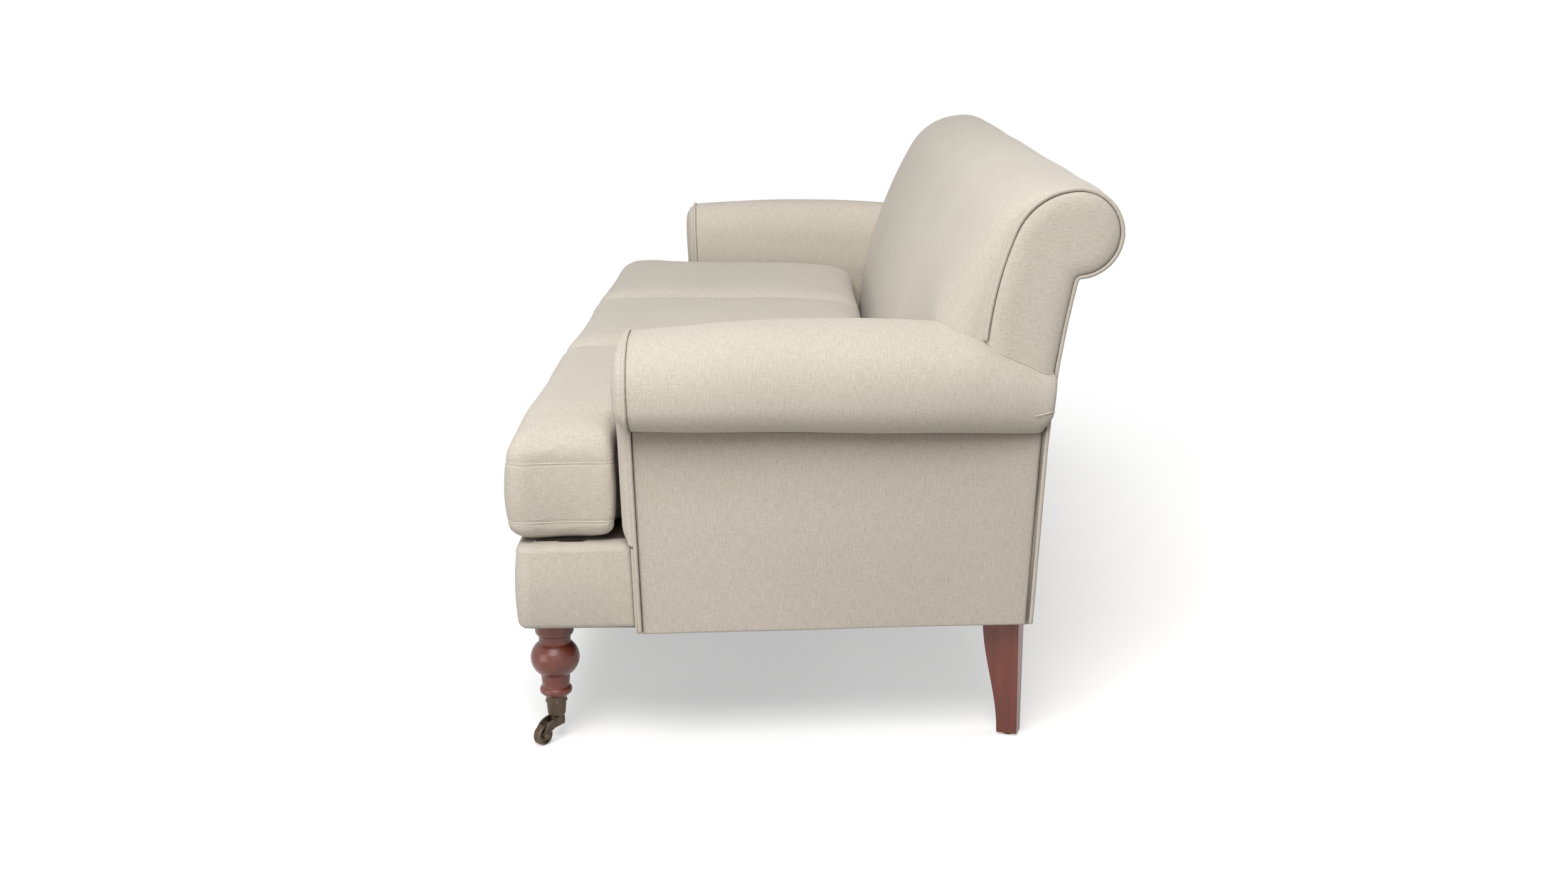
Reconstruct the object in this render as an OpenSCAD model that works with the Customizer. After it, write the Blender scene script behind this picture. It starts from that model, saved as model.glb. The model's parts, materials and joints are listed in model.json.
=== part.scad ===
// Three-seat roll-arm sofa: loose seat cushions, a tight scroll back, splayed rolled arms set
// back from the front, turned front legs on swivel casters and sabre rear legs.
// Millimetres. +Z is up, the front faces -Y, and the origin is on the floor under the middle.

/* [Seat] */
// Width of each of the three seat cushions
cushion_w = 608; // [580:2:640]
// Depth of the sofa, from the cushion fronts to the rear of the back roll
sofa_d = 976; // [950:2:1004]
// How far the end cushions reach in front of the arms
ear_d = 185; // [169:2:197]
// Height of the sewn band round each cushion
band_h = 96; // [84:1:104]
// Rise of a cushion's crown above its top seam
crown_h = 92; // [78:1:100]
// Drop of a cushion's underside below its bottom seam
belly_h = 35; // [28:1:40]

/* [Base] */
// Height of the upholstery's lower edge above the floor
base_z = 206; // [196:1:220]
// Height of the front border, from the lower edge to the deck
border_h = 140; // [128:1:150]
// How far the border's front is set back behind the cushions
border_setback = 19; // [10:1:26]

/* [Arms] */
// Height of the arm roll's crown above the floor
arm_h = 696; // [680:1:712]
// Thickness of an arm, from its inside face to its outside panel
arm_t = 148; // [138:1:160]
// How far the arm roll overhangs the outside panel
roll_over = 50; // [34:2:56]
// Height of the arm roll above the outside panel
roll_h = 165; // [152:1:178]
// Angle by which each arm opens towards the front, in degrees
splay = 5; // [3:0.5:6]
// Forward lean of the arm facings, in degrees
face_lean = 2.2; // [1:0.2:3]
// How far the padded arm facings stand proud
facing_crown = 23; // [16:1:27]

/* [Back] */
// Height of the back roll above the floor
back_h = 913; // [895:1:930]
// Radius of the back roll
back_roll_r = 74; // [68:1:79]
// Backward lean of the outside back, in degrees
rear_rake = 3; // [2.4:0.2:4]

/* [Legs and casters] */
// Largest radius of the turned bulb of a front leg
bulb_r = 40; // [36:1:44]
// Diameter of a caster wheel
wheel_d = 33; // [31:1:35]
// Width of a caster wheel's tread
wheel_w = 15; // [12:1:17]
// Distance from a caster's swivel axis to its axle
trail = 33; // [31:1:36]

/* [Covers and cords] */
// Diameter of the covered welt cord
welt_d = 7; // [6:0.5:8]
// Thickness of the outside arm and outside back panels
skin_t = 8; // [6:0.5:10]

/* [Hidden] */

LINEN = [0.83, 0.79, 0.71];
PALE_WOOD = [0.80, 0.66, 0.45];
STAINED_WOOD = [0.45, 0.22, 0.15];
BRONZE = [0.29, 0.25, 0.22];
STEEL = [0.66, 0.67, 0.69];
FOAM = [0.93, 0.88, 0.70];
JUTE = [0.66, 0.55, 0.38];
BLACK_CLOTH = [0.10, 0.10, 0.11];

// clearances and overruns
soft_gap = 0.4;      // between soft pieces that touch in the real sofa
cushion_gap = 1.2;   // between neighbouring cushions
lift_gap = 0.3;      // under a cushion that lies on the deck
fit_gap = 0.2;       // between timbers and covers that meet at a face
run_gap = 0.05;      // radial clearance of pins and bolts
overrun = 20;        // how far a cutting solid runs past what it cuts

// heights
dust_t = 2;                            // dust cover under the frame
timber_z = base_z + dust_t;            // underside of the frame
deck_t = 20;
jute_t = 3;                            // spring cover between rails and deck
deck_z = base_z + border_h;
inner_foot_z = deck_z - deck_t;
rail_top_z = inner_foot_z - jute_t;    // top of the seat rails
seam_lo_z = deck_z + belly_h;
seam_hi_z = seam_lo_z + band_h;
roll_z = arm_h - roll_h;               // where the roll meets the outside panel

// plan of the seat and arms
arm_in_x = 1.5 * cushion_w;            // inside face of an arm at its front
front_y = -sofa_d / 2;
rear_y_max = sofa_d / 2;
face_gap = 1.5;                        // between cushion ears and arm facings
ear_y = front_y + ear_d;               // rear of a cushion's ear
face_y = ear_y + face_gap + facing_crown + (seam_hi_z - base_z) * tan(face_lean);
back_reach = 129;                      // the roll's overhang past the foot of the outside back
foot_y = rear_y_max - back_reach;      // outside back at its lower edge

// arm section, in shares of the arm's own width and height
roll_top_share = 0.31;                 // place of the roll's crown across the arm
roll_in_share = 0.53;                  // height of the inside quarter of the roll
roll_out_share = 0.68;                 // height of the outside quarter of the roll
arm_pad_t = 35;                        // padding on the inside of an arm
arm_w = arm_t + roll_over;
roll_square = 0.87;                    // power that squares the outside of the roll a little
roll_fall = 16;                        // fall of the roll's lower edge from front to rear
arch_h = 15;                           // fall of the arm's top from its crown to its front
arch_share = 0.45;                     // place of the crown along the arm
slope_share = 0.845;                   // where the arm's top turns down beside the back
slope_end_share = 0.72;                // height of the roll at the rear, as a share of roll_h
fade_share = 0.7;                      // where the overhang starts to fade
fade_end_share = 0.56;                 // overhang left at the rear
arm_shares = [0.1, 0.22, 0.34, 0.46, 0.58, 0.7, 0.78, slope_share, 0.9, 0.95, 1];

// back section: a roll, a shoulder arc and a long lumbar arc, tangent to each other
shoulder_r = 143;
shoulder_angle = 29.6;
lumbar_r = 1036;
crest_in = 21;                         // flat run on top of the roll, in front of its centre
end_drop = 6;                          // the pad's end outline lies this far inside the roll
end_shoulder_r = 105;
end_shoulder_angle = 22;
end_lumbar_r = 600;
lumbar_angle = 6;                      // lean where the lumbar arc ends
roll_end_angle = 268;
roll_ease = 1.25;                      // power that sets the roll's points closer near its top
back_pad_t = 14;                       // padding over the edge of a back post
bulge_w = 120;                         // run over which the pad swells from its end
post_w = 105;                          // depth of a back post at the seat
back_foot_z = deck_z + soft_gap;
roll_c = [rear_y_max - back_roll_r, back_h - back_roll_r];
flare_share = 0.373;                   // where the outside back starts to flare
flare_r = 1800;
flare_z = base_z + flare_share * (back_h - base_z);
back_shares = [0, 0.06, 0.16, 0.3, 0.55, 1];
roll_foot_share = 0.6;                 // the frame line leaves the pad this far below the roll

// covers
crease_share = 0.76;                   // chamfer that a welt cord lies in, per welt diameter
crease = crease_share * welt_d;
welt_gap = 0.6;                        // between a welt cord and the covers beside it
seat_of_welt = welt_d / 2 + welt_gap;
arm_gap = 0.7;                         // between a cushion and the welt side of an arm
arm_clear = welt_d / 2 + arm_gap;
cover_r = 30;                          // corner radius of the seat cushions in plan
side_pinch = 5;                        // draw-in of a cushion's sides between its corners
band_bulge = 3;
ear_fall_share = 0.3;                  // fall of an end cushion's crown towards its ear's side
ear_fall_run = 190;                    // run of that fall
crown_run = 75;                        // run from the seam to the full crown
core_inset = 24;
border_t = 14;                         // padding in front of and beside the rails
cap_w = 45;                            // width of the border's top before the deck starts
border_r = 26;
hem_r = 5;                             // rounding of the border's lower edge
border_swell = 3;                      // how far the border's face swells at half height
border_round = 11;                     // rounding of its upper edge
strip_t = 8.4;                         // cloth strip between border and outside arm panel
facing_run = 42;                       // run over which an arm facing reaches its crown
facing_shares = [[0.21, 0.48], [0.52, 0.76], [1, 0.95]];
end_run = 24;                          // the same on the back's end panels
end_shares = [[0.46, 0.7], [1, 1]];

// timber
board_t = 25;
timber_gap = 1;                        // between neighbouring frames
side_u = 78;                           // inner face of a side rail, across the arm
side_u2 = side_u + board_t;
post_u = arm_t - skin_t;               // outer face of the arm frame
border_u = side_u2 + border_t;         // outer face of the border's sides
rail_front_y = front_y + border_setback + border_t;
rail_back_y = rail_front_y + board_t;
base_rear_y = foot_y - skin_t - board_t;
seat_rear_y = foot_y - skin_t - post_w;
scroll_inset = 12;                     // padding over the edge of the arm's scroll board
stretcher_h = 60;
block_w = 72;
block_h = 50;
low_rail_h = 50;
web_t = 2;
web_w = 50;
webs = 12;

// the end of the back: a post behind the end panel, on the line of the outside arm
end_pad_t = 10;                        // padding from a back post out to the end seam
post_x = arm_in_x + arm_t - skin_t - (foot_y - face_y) * tan(splay) - timber_gap;
post_t = post_x - timber_gap - arm_in_x - side_u2 + (seat_rear_y - face_y) * tan(splay);
rail_end_x = post_x - post_t - fit_gap; // ends of the rails between the back posts
back_end_x = post_x + end_pad_t;       // plane of the back's end seam
end_crown = 10;                        // the end panels stand this proud of their seam

// seat springs
spring_wire = 3.6;
spring_w = 46;
spring_pitch = 30;
springs = 12;

// front legs and casters
leg_set = 73;                          // leg axis behind the cushion fronts
leg_in = 18;                           // leg axis inside the side rail, under the corner block
leg_y = front_y + leg_set;
leg_x = arm_in_x + side_u - leg_in - (leg_y - face_y) * tan(splay);
axle_z = wheel_d / 2;
wheel_room = 9;                        // from the wheel's top to the underside of the cup
cup_z = wheel_d + wheel_room;
cup_h = 34;
cup_top_r = 17.2;
cup_bottom_r = 14.6;
cup_wall = 1.8;
cup_floor = 3;
cup_edge = [2.4, 3];                   // chamfer of a cup's lower edge, across and up
rim_step = 3;                          // shoulder of the leg over the cup's rim
axle_r = 2.5;
rivet_h = 1.4;
pin_r = 3.5;
pin_up = 7;                            // how far the pintle reaches above the cup's floor
pin_head = [1.2, 2];                   // its head, beyond the pin and in height
pocket_gap = 2;                        // room round the pintle's head in the leg
fork_plate_t = 2.6;
fork_side_gap = 0.5;
fork_angle = -37;                      // direction of the trail at rest, right caster
fork_gap = 1;                          // between the fork's cheeks and the cup
hub_h = 15;                            // from the cheeks' lower corner to the cup
hub_r = 9.4;
hub_up = 4;                            // thickness of the cheeks' web below the hub
hub_lip = 0.6;
cheek_back = 8;                        // the cheeks' reach behind the swivel axis
neck_x = 9;                            // centre of the goose neck, ahead of the swivel axis
neck_in = 9;                           // rise of its inner curve over the axle
eye_r = 7;                             // round end of a cheek at the axle
boss_t = 3;                            // wall of a wheel's hub
boss_step = 1;
dish_d = 3;                            // depth of a wheel's dished side
rim_shares = [0.09, 0.21, 0.27];       // rim's edge, bead and inner wall, of the wheel's radius
rim_in = 0.6;                          // the rim stands this far inside the hub's ends
tread_round = 2.2;
screw_r = 1.6;
screw_l = 12;
screw_in = 6;                          // how far a screw reaches inside the cup's lower radius
screw_share = 0.74;                    // height of the screws up the cup
screw_head = [0.35, 1.2];              // lift of a screw's head off the cup, and its height
bolt_r = 4;
bolt_up = 45;                          // how far a bolt reaches into the timber
bolt_down = 55;                        // and into the leg

// rear legs
rear_leg_set = 38;                     // leg centre in front of the foot of the outside back
rear_leg_y = foot_y - rear_leg_set;
rear_leg_x = arm_in_x + side_u + board_t / 2 - (rear_leg_y - face_y) * tan(splay);
rear_leg_turn = -18;
rear_leg_d = 60;                       // depth at the top
rear_leg_t = 44;                       // thickness at the top
foot_d = 34;
foot_t = 27;
glide_r = 9;
glide_h = 4;

function clamp(v, lo, hi) = max(lo, min(hi, v));
function mix(a, b, t) = a + (b - a) * t;
function unit(v) = v / norm(v);
function turn(v) = [-v[1], v[0]];

// points on an arc from angle a0 to a1
function arc(c, r, a0, a1, n) =
  [for (i = [0 : n]) c + r * [cos(mix(a0, a1, i / n)), sin(mix(a0, a1, i / n))]];

// a corner of an outline, rounded to radius r with k steps
function round_corner(before, at, after, r, k) =
  let (d1 = unit(before - at), d2 = unit(after - at), half = acos(clamp(d1 * d2, -1, 1)) / 2)
  let (c = at + unit(d1 + d2) * r / sin(half), s = at + d1 * r / tan(half) - c)
  let (e = at + d2 * r / tan(half) - c, a0 = atan2(s[1], s[0]))
  let (raw = atan2(e[1], e[0]) - a0, sweep = raw > 180 ? raw - 360 : raw < -180 ? raw + 360 : raw)
  arc(c, r, a0, a0 + sweep, k);

// anticlockwise outline with rounded corners, whose longer sides draw in by pinch
function soft_outline(corners, r, k, side_points, pinch) =
  let (n = len(corners))
  let (arcs = [for (i = [0 : n - 1])
    round_corner(corners[(i + n - 1) % n], corners[i], corners[(i + 1) % n], r, k)])
  [for (i = [0 : n - 1]) each concat(arcs[i],
    let (a = arcs[i][k], b = arcs[(i + 1) % n][0], d = unit(b - a))
    [for (j = [1 : side_points])
      let (t = j / (side_points + 1)) mix(a, b, t) + turn(d) * pinch * sin(180 * t)])];

// corners of an anticlockwise outline, with each side moved inwards by d
function inset_corners(corners, d) =
  let (n = len(corners))
  [for (i = [0 : n - 1])
    let (n1 = turn(unit(corners[i] - corners[(i + n - 1) % n])))
    let (n2 = turn(unit(corners[(i + 1) % n] - corners[i])))
    corners[i] + d * (n1 + n2) / (1 + n1 * n2)];

// moves a closed outline's points inwards; the outline runs anticlockwise
function inset(outline, d) =
  let (n = len(outline))
  [for (i = [0 : n - 1])
    outline[i] + d * turn(unit(outline[(i + 1) % n] - outline[(i + n - 1) % n]))];

// solid between stacked rings, closed by a tip at each end
module stack(rings, tip0, tip1) {
  n = len(rings[0]);
  m = len(rings);
  last = 1 + m * n;
  polyhedron(
    points = concat([tip0], [for (r = rings) each r], [tip1]),
    faces = concat(
      [for (i = [0 : n - 1]) [0, 1 + i, 1 + (i + 1) % n]],
      [for (r = [0 : m - 2], i = [0 : n - 1])
        let (a = 1 + r * n + i, b = 1 + r * n + (i + 1) % n)
        each [[a, a + n, b + n], [a, b + n, b]]],
      [for (i = [0 : n - 1]) [last, last - n + (i + 1) % n, last - n + i]]));
}

// shell between stacked rings, each an outer run of points and the inner run back
module shell_stack(rings) {
  n = len(rings[0]);
  m = len(rings);
  end = (m - 1) * n;
  polyhedron(
    points = [for (r = rings) each r],
    faces = concat(
      [for (i = [0 : n / 2 - 2]) each [[n - 1 - i, i, i + 1], [n - 1 - i, i + 1, n - 2 - i]]],
      [for (r = [0 : m - 2], i = [0 : n - 1])
        let (a = r * n + i, b = r * n + (i + 1) % n)
        each [[a, a + n, b + n], [a, b + n, b]]],
      [for (i = [0 : n / 2 - 2])
        each [[end + n - 1 - i, end + i + 1, end + i],
              [end + n - 1 - i, end + n - 2 - i, end + i + 1]]]));
}

// round cord along a path that lies in the plane with normal n
module cord(path, r, sides, n) {
  last = len(path) - 1;
  rings = [for (i = [0 : last])
    let (t = unit(path[min(i + 1, last)] - path[max(i - 1, 0)]), b = cross(t, n))
    [for (k = [0 : sides - 1])
      path[i] + r * (cos(360 * k / sides) * n + sin(360 * k / sides) * b)]];
  stack(rings, path[0], path[last]);
}

// extrudes a (Y, Z) shape from x0 to x1
module across(x0, x1) {
  translate([x0, 0, 0]) rotate([90, 0, 90]) linear_extrude(x1 - x0) children();
}

module box(lo, hi) {
  translate(lo) cube(hi - lo);
}

module both_sides() {
  children();
  mirror([1, 0, 0]) children();
}

// planes and curves that several pieces share
function face_at(z) = face_y - (z - base_z) * tan(face_lean);
function arm_x(u, y) = arm_in_x + u - (y - face_y) * tan(splay);

// outside back: a straight rake, then a concave flare up to the roll
function rear_at(z) =
  let (straight = foot_y + (min(z, flare_z) - base_z) * tan(rear_rake))
  let (s = sin(rear_rake) + max(z - flare_z, 0) / flare_r)
  straight + flare_r * (cos(rear_rake) - sqrt(1 - s * s));
function skin_at(z) = rear_at(z) - skin_t;

// side outline of the back, from its foot up the front, over the roll and under it
function back_curve(r3, r2, a2, r1, crest, foot_z) =
  let (c2 = roll_c + [-crest, r3 - r2], c1 = c2 + (r1 - r2) * [cos(a2), -sin(a2)])
  let (knee = c1 + r1 * [-cos(lumbar_angle), sin(lumbar_angle)])
  concat(
    [for (t = [0, 1 / 2]) mix([knee[0] - (knee[1] - foot_z) * tan(lumbar_angle), foot_z], knee, t)],
    arc(c1, r1, 180 - lumbar_angle, 180 - a2, 5),
    [for (i = [1 : 4]) c2 + r2 * [cos(mix(180 - a2, 90, i / 4)), sin(mix(180 - a2, 90, i / 4))]],
    [for (i = [1 : 9]) let (a = mix(90, 180 - roll_end_angle, pow(i / 9, roll_ease)))
      roll_c + r3 * [cos(a), sin(a)]]);
function full_curve(foot_z) =
  back_curve(back_roll_r, shoulder_r, shoulder_angle, lumbar_r, crest_in, foot_z);
function end_curve(t, foot_z) =
  back_curve(back_roll_r - end_drop - t, end_shoulder_r - t, end_shoulder_angle, end_lumbar_r - t,
             0, foot_z);

// lower edge of the arm roll along its length
function roll_low_z(s) = roll_z + roll_fall * (1 / 2 - s);

// height of the arm's top along its length
function arm_top(s) =
  let (arch = arm_h - arch_h * pow((s - arch_share) / arch_share, 2))
  let (fall = (s - slope_share) / (1 - slope_share))
  s <= slope_share ? arch
    : mix(arm_h - arch_h * pow((slope_share - arch_share) / arch_share, 2),
          roll_z + slope_end_share * roll_h, fall);

// arm outline as (across, up) points, from the foot of the inside face over the roll
function arm_outline(foot_z, s) =
  let (k = (arm_top(s) - roll_z) / roll_h, crown_u = roll_top_share * arm_w)
  let (over = roll_over * mix(1, fade_end_share, pow(max(s - fade_share, 0) / (1 - fade_share), 2)))
  let (in_z = (1 - roll_in_share) * roll_h, out_z = (1 - roll_out_share) * roll_h)
  concat(
    [[0, foot_z], [0, roll_z]],
    [for (a = [180 : -22.5 : 90])
      [crown_u + crown_u * cos(a), roll_z + k * (in_z + roll_in_share * roll_h * sin(a))]],
    [for (a = [72 : -18 : 0])
      [crown_u + (arm_t + over - crown_u) * pow(cos(a), roll_square),
       roll_z + k * (out_z + roll_out_share * roll_h * pow(sin(a), roll_square))]],
    [for (a = [-22.5 : -22.5 : -90])
      [arm_t + over * cos(a),
       roll_z + k * out_z * (1 + sin(a)) - (roll_low_z(s) - roll_z) * sin(a)]]);

// rear of the arms, against the outside back
function arm_rear(z) = skin_at(z) - soft_gap;

// an arm point at share s of the arm's length
function arm_point(p, s) =
  let (y = mix(face_at(p[1]), arm_rear(p[1]), s)) [arm_x(p[0], y), y, p[1]];
function reversed(list) = [for (i = [len(list) - 1 : -1 : 0]) list[i]];

// back frame line: the pad's inner face, the webbing and the posts all follow it
function support_curve(t, foot_z) =
  [for (p = end_curve(t, foot_z))
    [p[1] < roll_c[1] - back_roll_r * roll_foot_share
      ? max(p[0], skin_at(p[1]) - post_w + t - back_pad_t) : p[0], p[1]]];
front_steps = 11;                      // points of a back curve that lie in front of the roll
function y_on(curve, z) = lookup(z, [for (i = [0 : front_steps - 1]) [curve[i][1], curve[i][0]]]);
function support_y(t, z) = y_on(support_curve(t, back_foot_z), z);
function back_front_y(z) = y_on(full_curve(base_z), z);

// cushions, in plan; an end cushion has an ear in front of the arm
ear_in = 7;                            // an ear's side stands this far inside the border's
ear_u = border_u - ear_in;
cushion_rear_y = back_front_y(seam_lo_z) - 2 * soft_gap;
centre_corners = [
  [-cushion_w / 2 + cushion_gap / 2, front_y], [cushion_w / 2 - cushion_gap / 2, front_y],
  [cushion_w / 2 - cushion_gap / 2, cushion_rear_y],
  [-cushion_w / 2 + cushion_gap / 2, cushion_rear_y]];
end_corners = [
  [cushion_w / 2 + cushion_gap / 2, front_y], [arm_x(ear_u, front_y), front_y],
  [arm_x(ear_u, ear_y), ear_y], [arm_x(-arm_clear, ear_y), ear_y],
  [arm_x(-arm_clear, cushion_rear_y), cushion_rear_y],
  [cushion_w / 2 + cushion_gap / 2, cushion_rear_y]];

// plan of a cushion, drawn in by d from its seams
function cushion_plan(corners, d) =
  soft_outline(inset_corners(corners, d + band_bulge), max(cover_r - d / 2, cover_r / 4), 4, 3,
               side_pinch);

// height of the crown at place x, as a share of its full height
function crown_share_at(x) =
  let (t = clamp((abs(x) - arm_x(ear_u, front_y)) / ear_fall_run + 1, 0, 1))
  1 - ear_fall_share * t * t * (3 - 2 * t);

module cushion_form(corners) {
  crown_shares = [0.06, 0.18, 0.38, 0.64, 1];
  belly_shares = [0.55, 0.22, 0.06];
  rings = concat(
    [for (t = belly_shares)
      [for (p = cushion_plan(corners, t * crown_run)) [p[0], p[1],
        seam_lo_z - (belly_h - lift_gap) * sqrt(1 - pow(1 - min(t * 1.8, 1), 2))]]],
    [for (t = [0, 1 / 2, 1])
      [for (p = cushion_plan(corners, -band_bulge * sin(180 * t)))
        [p[0], p[1], seam_lo_z + band_h * t]]],
    [for (t = crown_shares)
      [for (p = cushion_plan(corners, t * crown_run)) [p[0], p[1],
        seam_hi_z + crown_h * sqrt(1 - pow(1 - t, 2)) * crown_share_at(p[0])]]]);
  middle = (corners[0] + corners[len(corners) / 2]) / 2;
  tip = [middle[0], ear_y - ear_d / 2];
  stack(rings, [tip[0], tip[1], deck_z + lift_gap], [tip[0], tip[1], seam_hi_z + crown_h]);
}

module cushion_block(corners) {
  translate([0, 0, seam_lo_z]) linear_extrude(band_h + crown_h / 3)
    polygon(inset_corners(corners, core_inset));
}

module cushion_cover(corners) {
  difference() {
    cushion_form(corners);
    cushion_block(corners);
  }
}

// timber of the seat
module plan_slab(points, z0, z1) {
  translate([0, 0, z0]) linear_extrude(z1 - z0) polygon(points);
}

// a slab between two planes across the arm and two places along it
module arm_board(u0, u1, y0, y1, z0, z1) {
  plan_slab([[arm_x(u0, y0), y0], [arm_x(u1, y0), y0], [arm_x(u1, y1), y1], [arm_x(u0, y1), y1]],
            z0, z1);
}

module front_rail() {
  color(PALE_WOOD)
    box([-arm_x(side_u2, rail_back_y), rail_front_y, timber_z],
        [arm_x(side_u2, rail_back_y), rail_back_y, rail_top_z]);
}

module side_rail() {
  color(PALE_WOOD) difference() {
    arm_board(side_u, side_u2, rail_back_y, base_rear_y, timber_z, rail_top_z);
    bolt_hole(rear_leg_x, rear_leg_y);
  }
}

module seat_rear_rail() {
  y1 = seat_rear_y + board_t;
  color(PALE_WOOD)
    plan_slab([for (c = [[-1, seat_rear_y], [1, seat_rear_y], [1, y1], [-1, y1]])
      [c[0] * arm_x(side_u, c[1]), c[1]]], timber_z + stretcher_h, rail_top_z);
}

module base_rear_rail() {
  color(PALE_WOOD)
    box([-rail_end_x, base_rear_y, timber_z], [rail_end_x, foot_y - skin_t - fit_gap, rail_top_z]);
}

module seat_stretchers() {
  color(PALE_WOOD) for (x = [-cushion_w / 2, cushion_w / 2])
    box([x - board_t / 2, rail_back_y, timber_z],
        [x + board_t / 2, base_rear_y, timber_z + stretcher_h]);
}

module corner_blocks() {
  color(PALE_WOOD) both_sides() {
    difference() {
      plan_slab([[arm_x(side_u, rail_back_y), rail_back_y],
                 [arm_x(side_u, rail_back_y + block_w), rail_back_y + block_w],
                 [arm_x(side_u, rail_back_y) - block_w, rail_back_y]], timber_z, timber_z + block_h);
      bolt_hole(leg_x, leg_y);
    }
    plan_slab([[arm_x(side_u, base_rear_y), base_rear_y],
               [arm_x(side_u, base_rear_y) - block_w, base_rear_y],
               [arm_x(side_u, base_rear_y - block_w), base_rear_y - block_w]],
              timber_z, timber_z + block_h);
  }
}

// timber of an arm: a scroll board behind the facing, a base rail and a top rail
scroll_z = roll_low_z(1) - board_t;
module scroll_board() {
  outline = inset(reversed(arm_outline(scroll_z, 0)), scroll_inset);
  roll = [for (p = outline) if (p[1] > roll_low_z(0) && p[0] > arm_pad_t) p];
  notch_u = side_u2 + timber_gap;
  outer_u = post_u - (board_t + 2 * timber_gap) * tan(splay);
  shape = concat(
    [[arm_pad_t, inner_foot_z], [notch_u, inner_foot_z], [notch_u, timber_z], [outer_u, timber_z],
     [outer_u, roll_low_z(0)]],
    roll,
    [[arm_pad_t, roll_z + roll_h / 2]]);
  intersection() {
    translate([arm_in_x, face_y + base_z * tan(face_lean), 0]) rotate([90 + face_lean, 0, 0])
      translate([0, 0, -board_t - fit_gap]) linear_extrude(board_t) polygon(shape);
    box([arm_in_x - overrun, face_y - sofa_d, timber_z], [arm_in_x + sofa_d, foot_y, arm_h]);
  }
}

module arm_post() {
  color(PALE_WOOD) scroll_board();
}

module arm_base_rail() {
  y0 = face_at(timber_z) + board_t + timber_gap;
  color(PALE_WOOD)
    arm_board(side_u2 + fit_gap, post_u - fit_gap, y0, seat_rear_y - timber_gap,
              timber_z, timber_z + stretcher_h);
}

module arm_top_rail() {
  y0 = face_at(scroll_z) + board_t + timber_gap;
  y1 = support_y(web_t, scroll_z) - timber_gap;
  color(PALE_WOOD)
    arm_board(arm_pad_t + fit_gap, post_u - fit_gap, y0, y1, scroll_z, roll_low_z(1) - fit_gap);
}

// heights at which the curve of the outside back is drawn
outside_top_z = roll_c[1] - back_roll_r - soft_gap;
flare_zs = [for (t = [0, 0.25, 0.5, 0.75, 1]) mix(flare_z, outside_top_z, t)];

// timber of the back
function post_outline() =
  let (line = support_curve(back_pad_t + web_t, back_foot_z))
  concat(
    [[line[0][0], timber_z]], line,
    [for (z = reversed(flare_zs)) [skin_at(z) - soft_gap, z]],
    [[skin_at(timber_z) - soft_gap, timber_z]]);

module back_post() {
  color(PALE_WOOD) across(post_x - post_t, post_x) polygon(post_outline());
}

module rail_between_posts(z0, z1) {
  t = back_pad_t + web_t;
  across(-rail_end_x, rail_end_x)
    polygon([[support_y(t, z0), z0], [support_y(t, z0) + board_t, z0],
             [support_y(t, z1) + board_t, z1], [support_y(t, z1), z1]]);
}

mid_rail_share = 0.62;                 // height of the middle back rail, from deck to back top
module back_low_rail() {
  color(PALE_WOOD) rail_between_posts(deck_z + 2 * timber_gap, deck_z + low_rail_h);
}

module back_mid_rail() {
  z = mix(deck_z, back_h, mid_rail_share);
  color(PALE_WOOD) rail_between_posts(z, z + low_rail_h);
}

module back_top_rail() {
  r = back_roll_r - end_drop - back_pad_t - web_t;
  color(PALE_WOOD) translate([-rail_end_x, roll_c[0], roll_c[1]]) rotate([0, 90, 0])
    cylinder(r = r, h = 2 * rail_end_x, $fn = 48);
}

module back_webbing() {
  z0 = deck_z + 2 * timber_gap;
  z1 = roll_c[1] - back_roll_r * roll_foot_share;
  curve = support_curve(back_pad_t + soft_gap, back_foot_z);
  line = concat([[y_on(curve, z0), z0]],
                [for (i = [0 : front_steps - 1]) if (curve[i][1] > z0 && curve[i][1] < z1) curve[i]]);
  step = 2 * rail_end_x / webs;
  color(JUTE) for (i = [0 : webs - 1])
    let (x = -rail_end_x + (i + 1 / 2) * step)
    across(x - web_w / 2, x + web_w / 2)
      polygon(concat(line, [for (p = reversed(line)) [p[0] + web_t - soft_gap, p[1]]]));
}

// seat suspension: zigzag springs, spring cover and deck
function spring_line(side) =
  let (run = seat_rear_y - rail_back_y, n = floor(run / spring_pitch / 2) * 2)
  let (pitch = run / n)
  [for (i = [0 : n - 1], a = [-90 : 60 : 90])
    let (left = i % 2 == 0 ? 1 : -1, rr = pitch / 2 + left * side * spring_wire / 2)
    [left * ((spring_w - pitch) / 2 + rr * cos(a)), rail_back_y + pitch * (i + 1 / 2) + rr * sin(a)]];

module seat_springs() {
  step = 2 * (arm_in_x - spring_w) / springs;
  color(STEEL) for (i = [0 : springs - 1])
    translate([-arm_in_x + spring_w + (i + 1 / 2) * step, 0, rail_top_z - spring_wire])
      linear_extrude(spring_wire)
        intersection() {
          polygon(concat(spring_line(1), reversed(spring_line(-1))));
          translate([-spring_w, rail_back_y]) square([2 * spring_w, seat_rear_y - rail_back_y]);
        }
}

module spring_cover() {
  u = arm_pad_t - timber_gap;
  y0 = rail_front_y + timber_gap;
  y1 = seat_rear_y + board_t;
  color(JUTE) plan_slab([for (c = [[-1, y0], [1, y0], [1, y1], [-1, y1]])
    [c[0] * arm_x(u, c[1]), c[1]]], rail_top_z, rail_top_z + jute_t);
}

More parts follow.
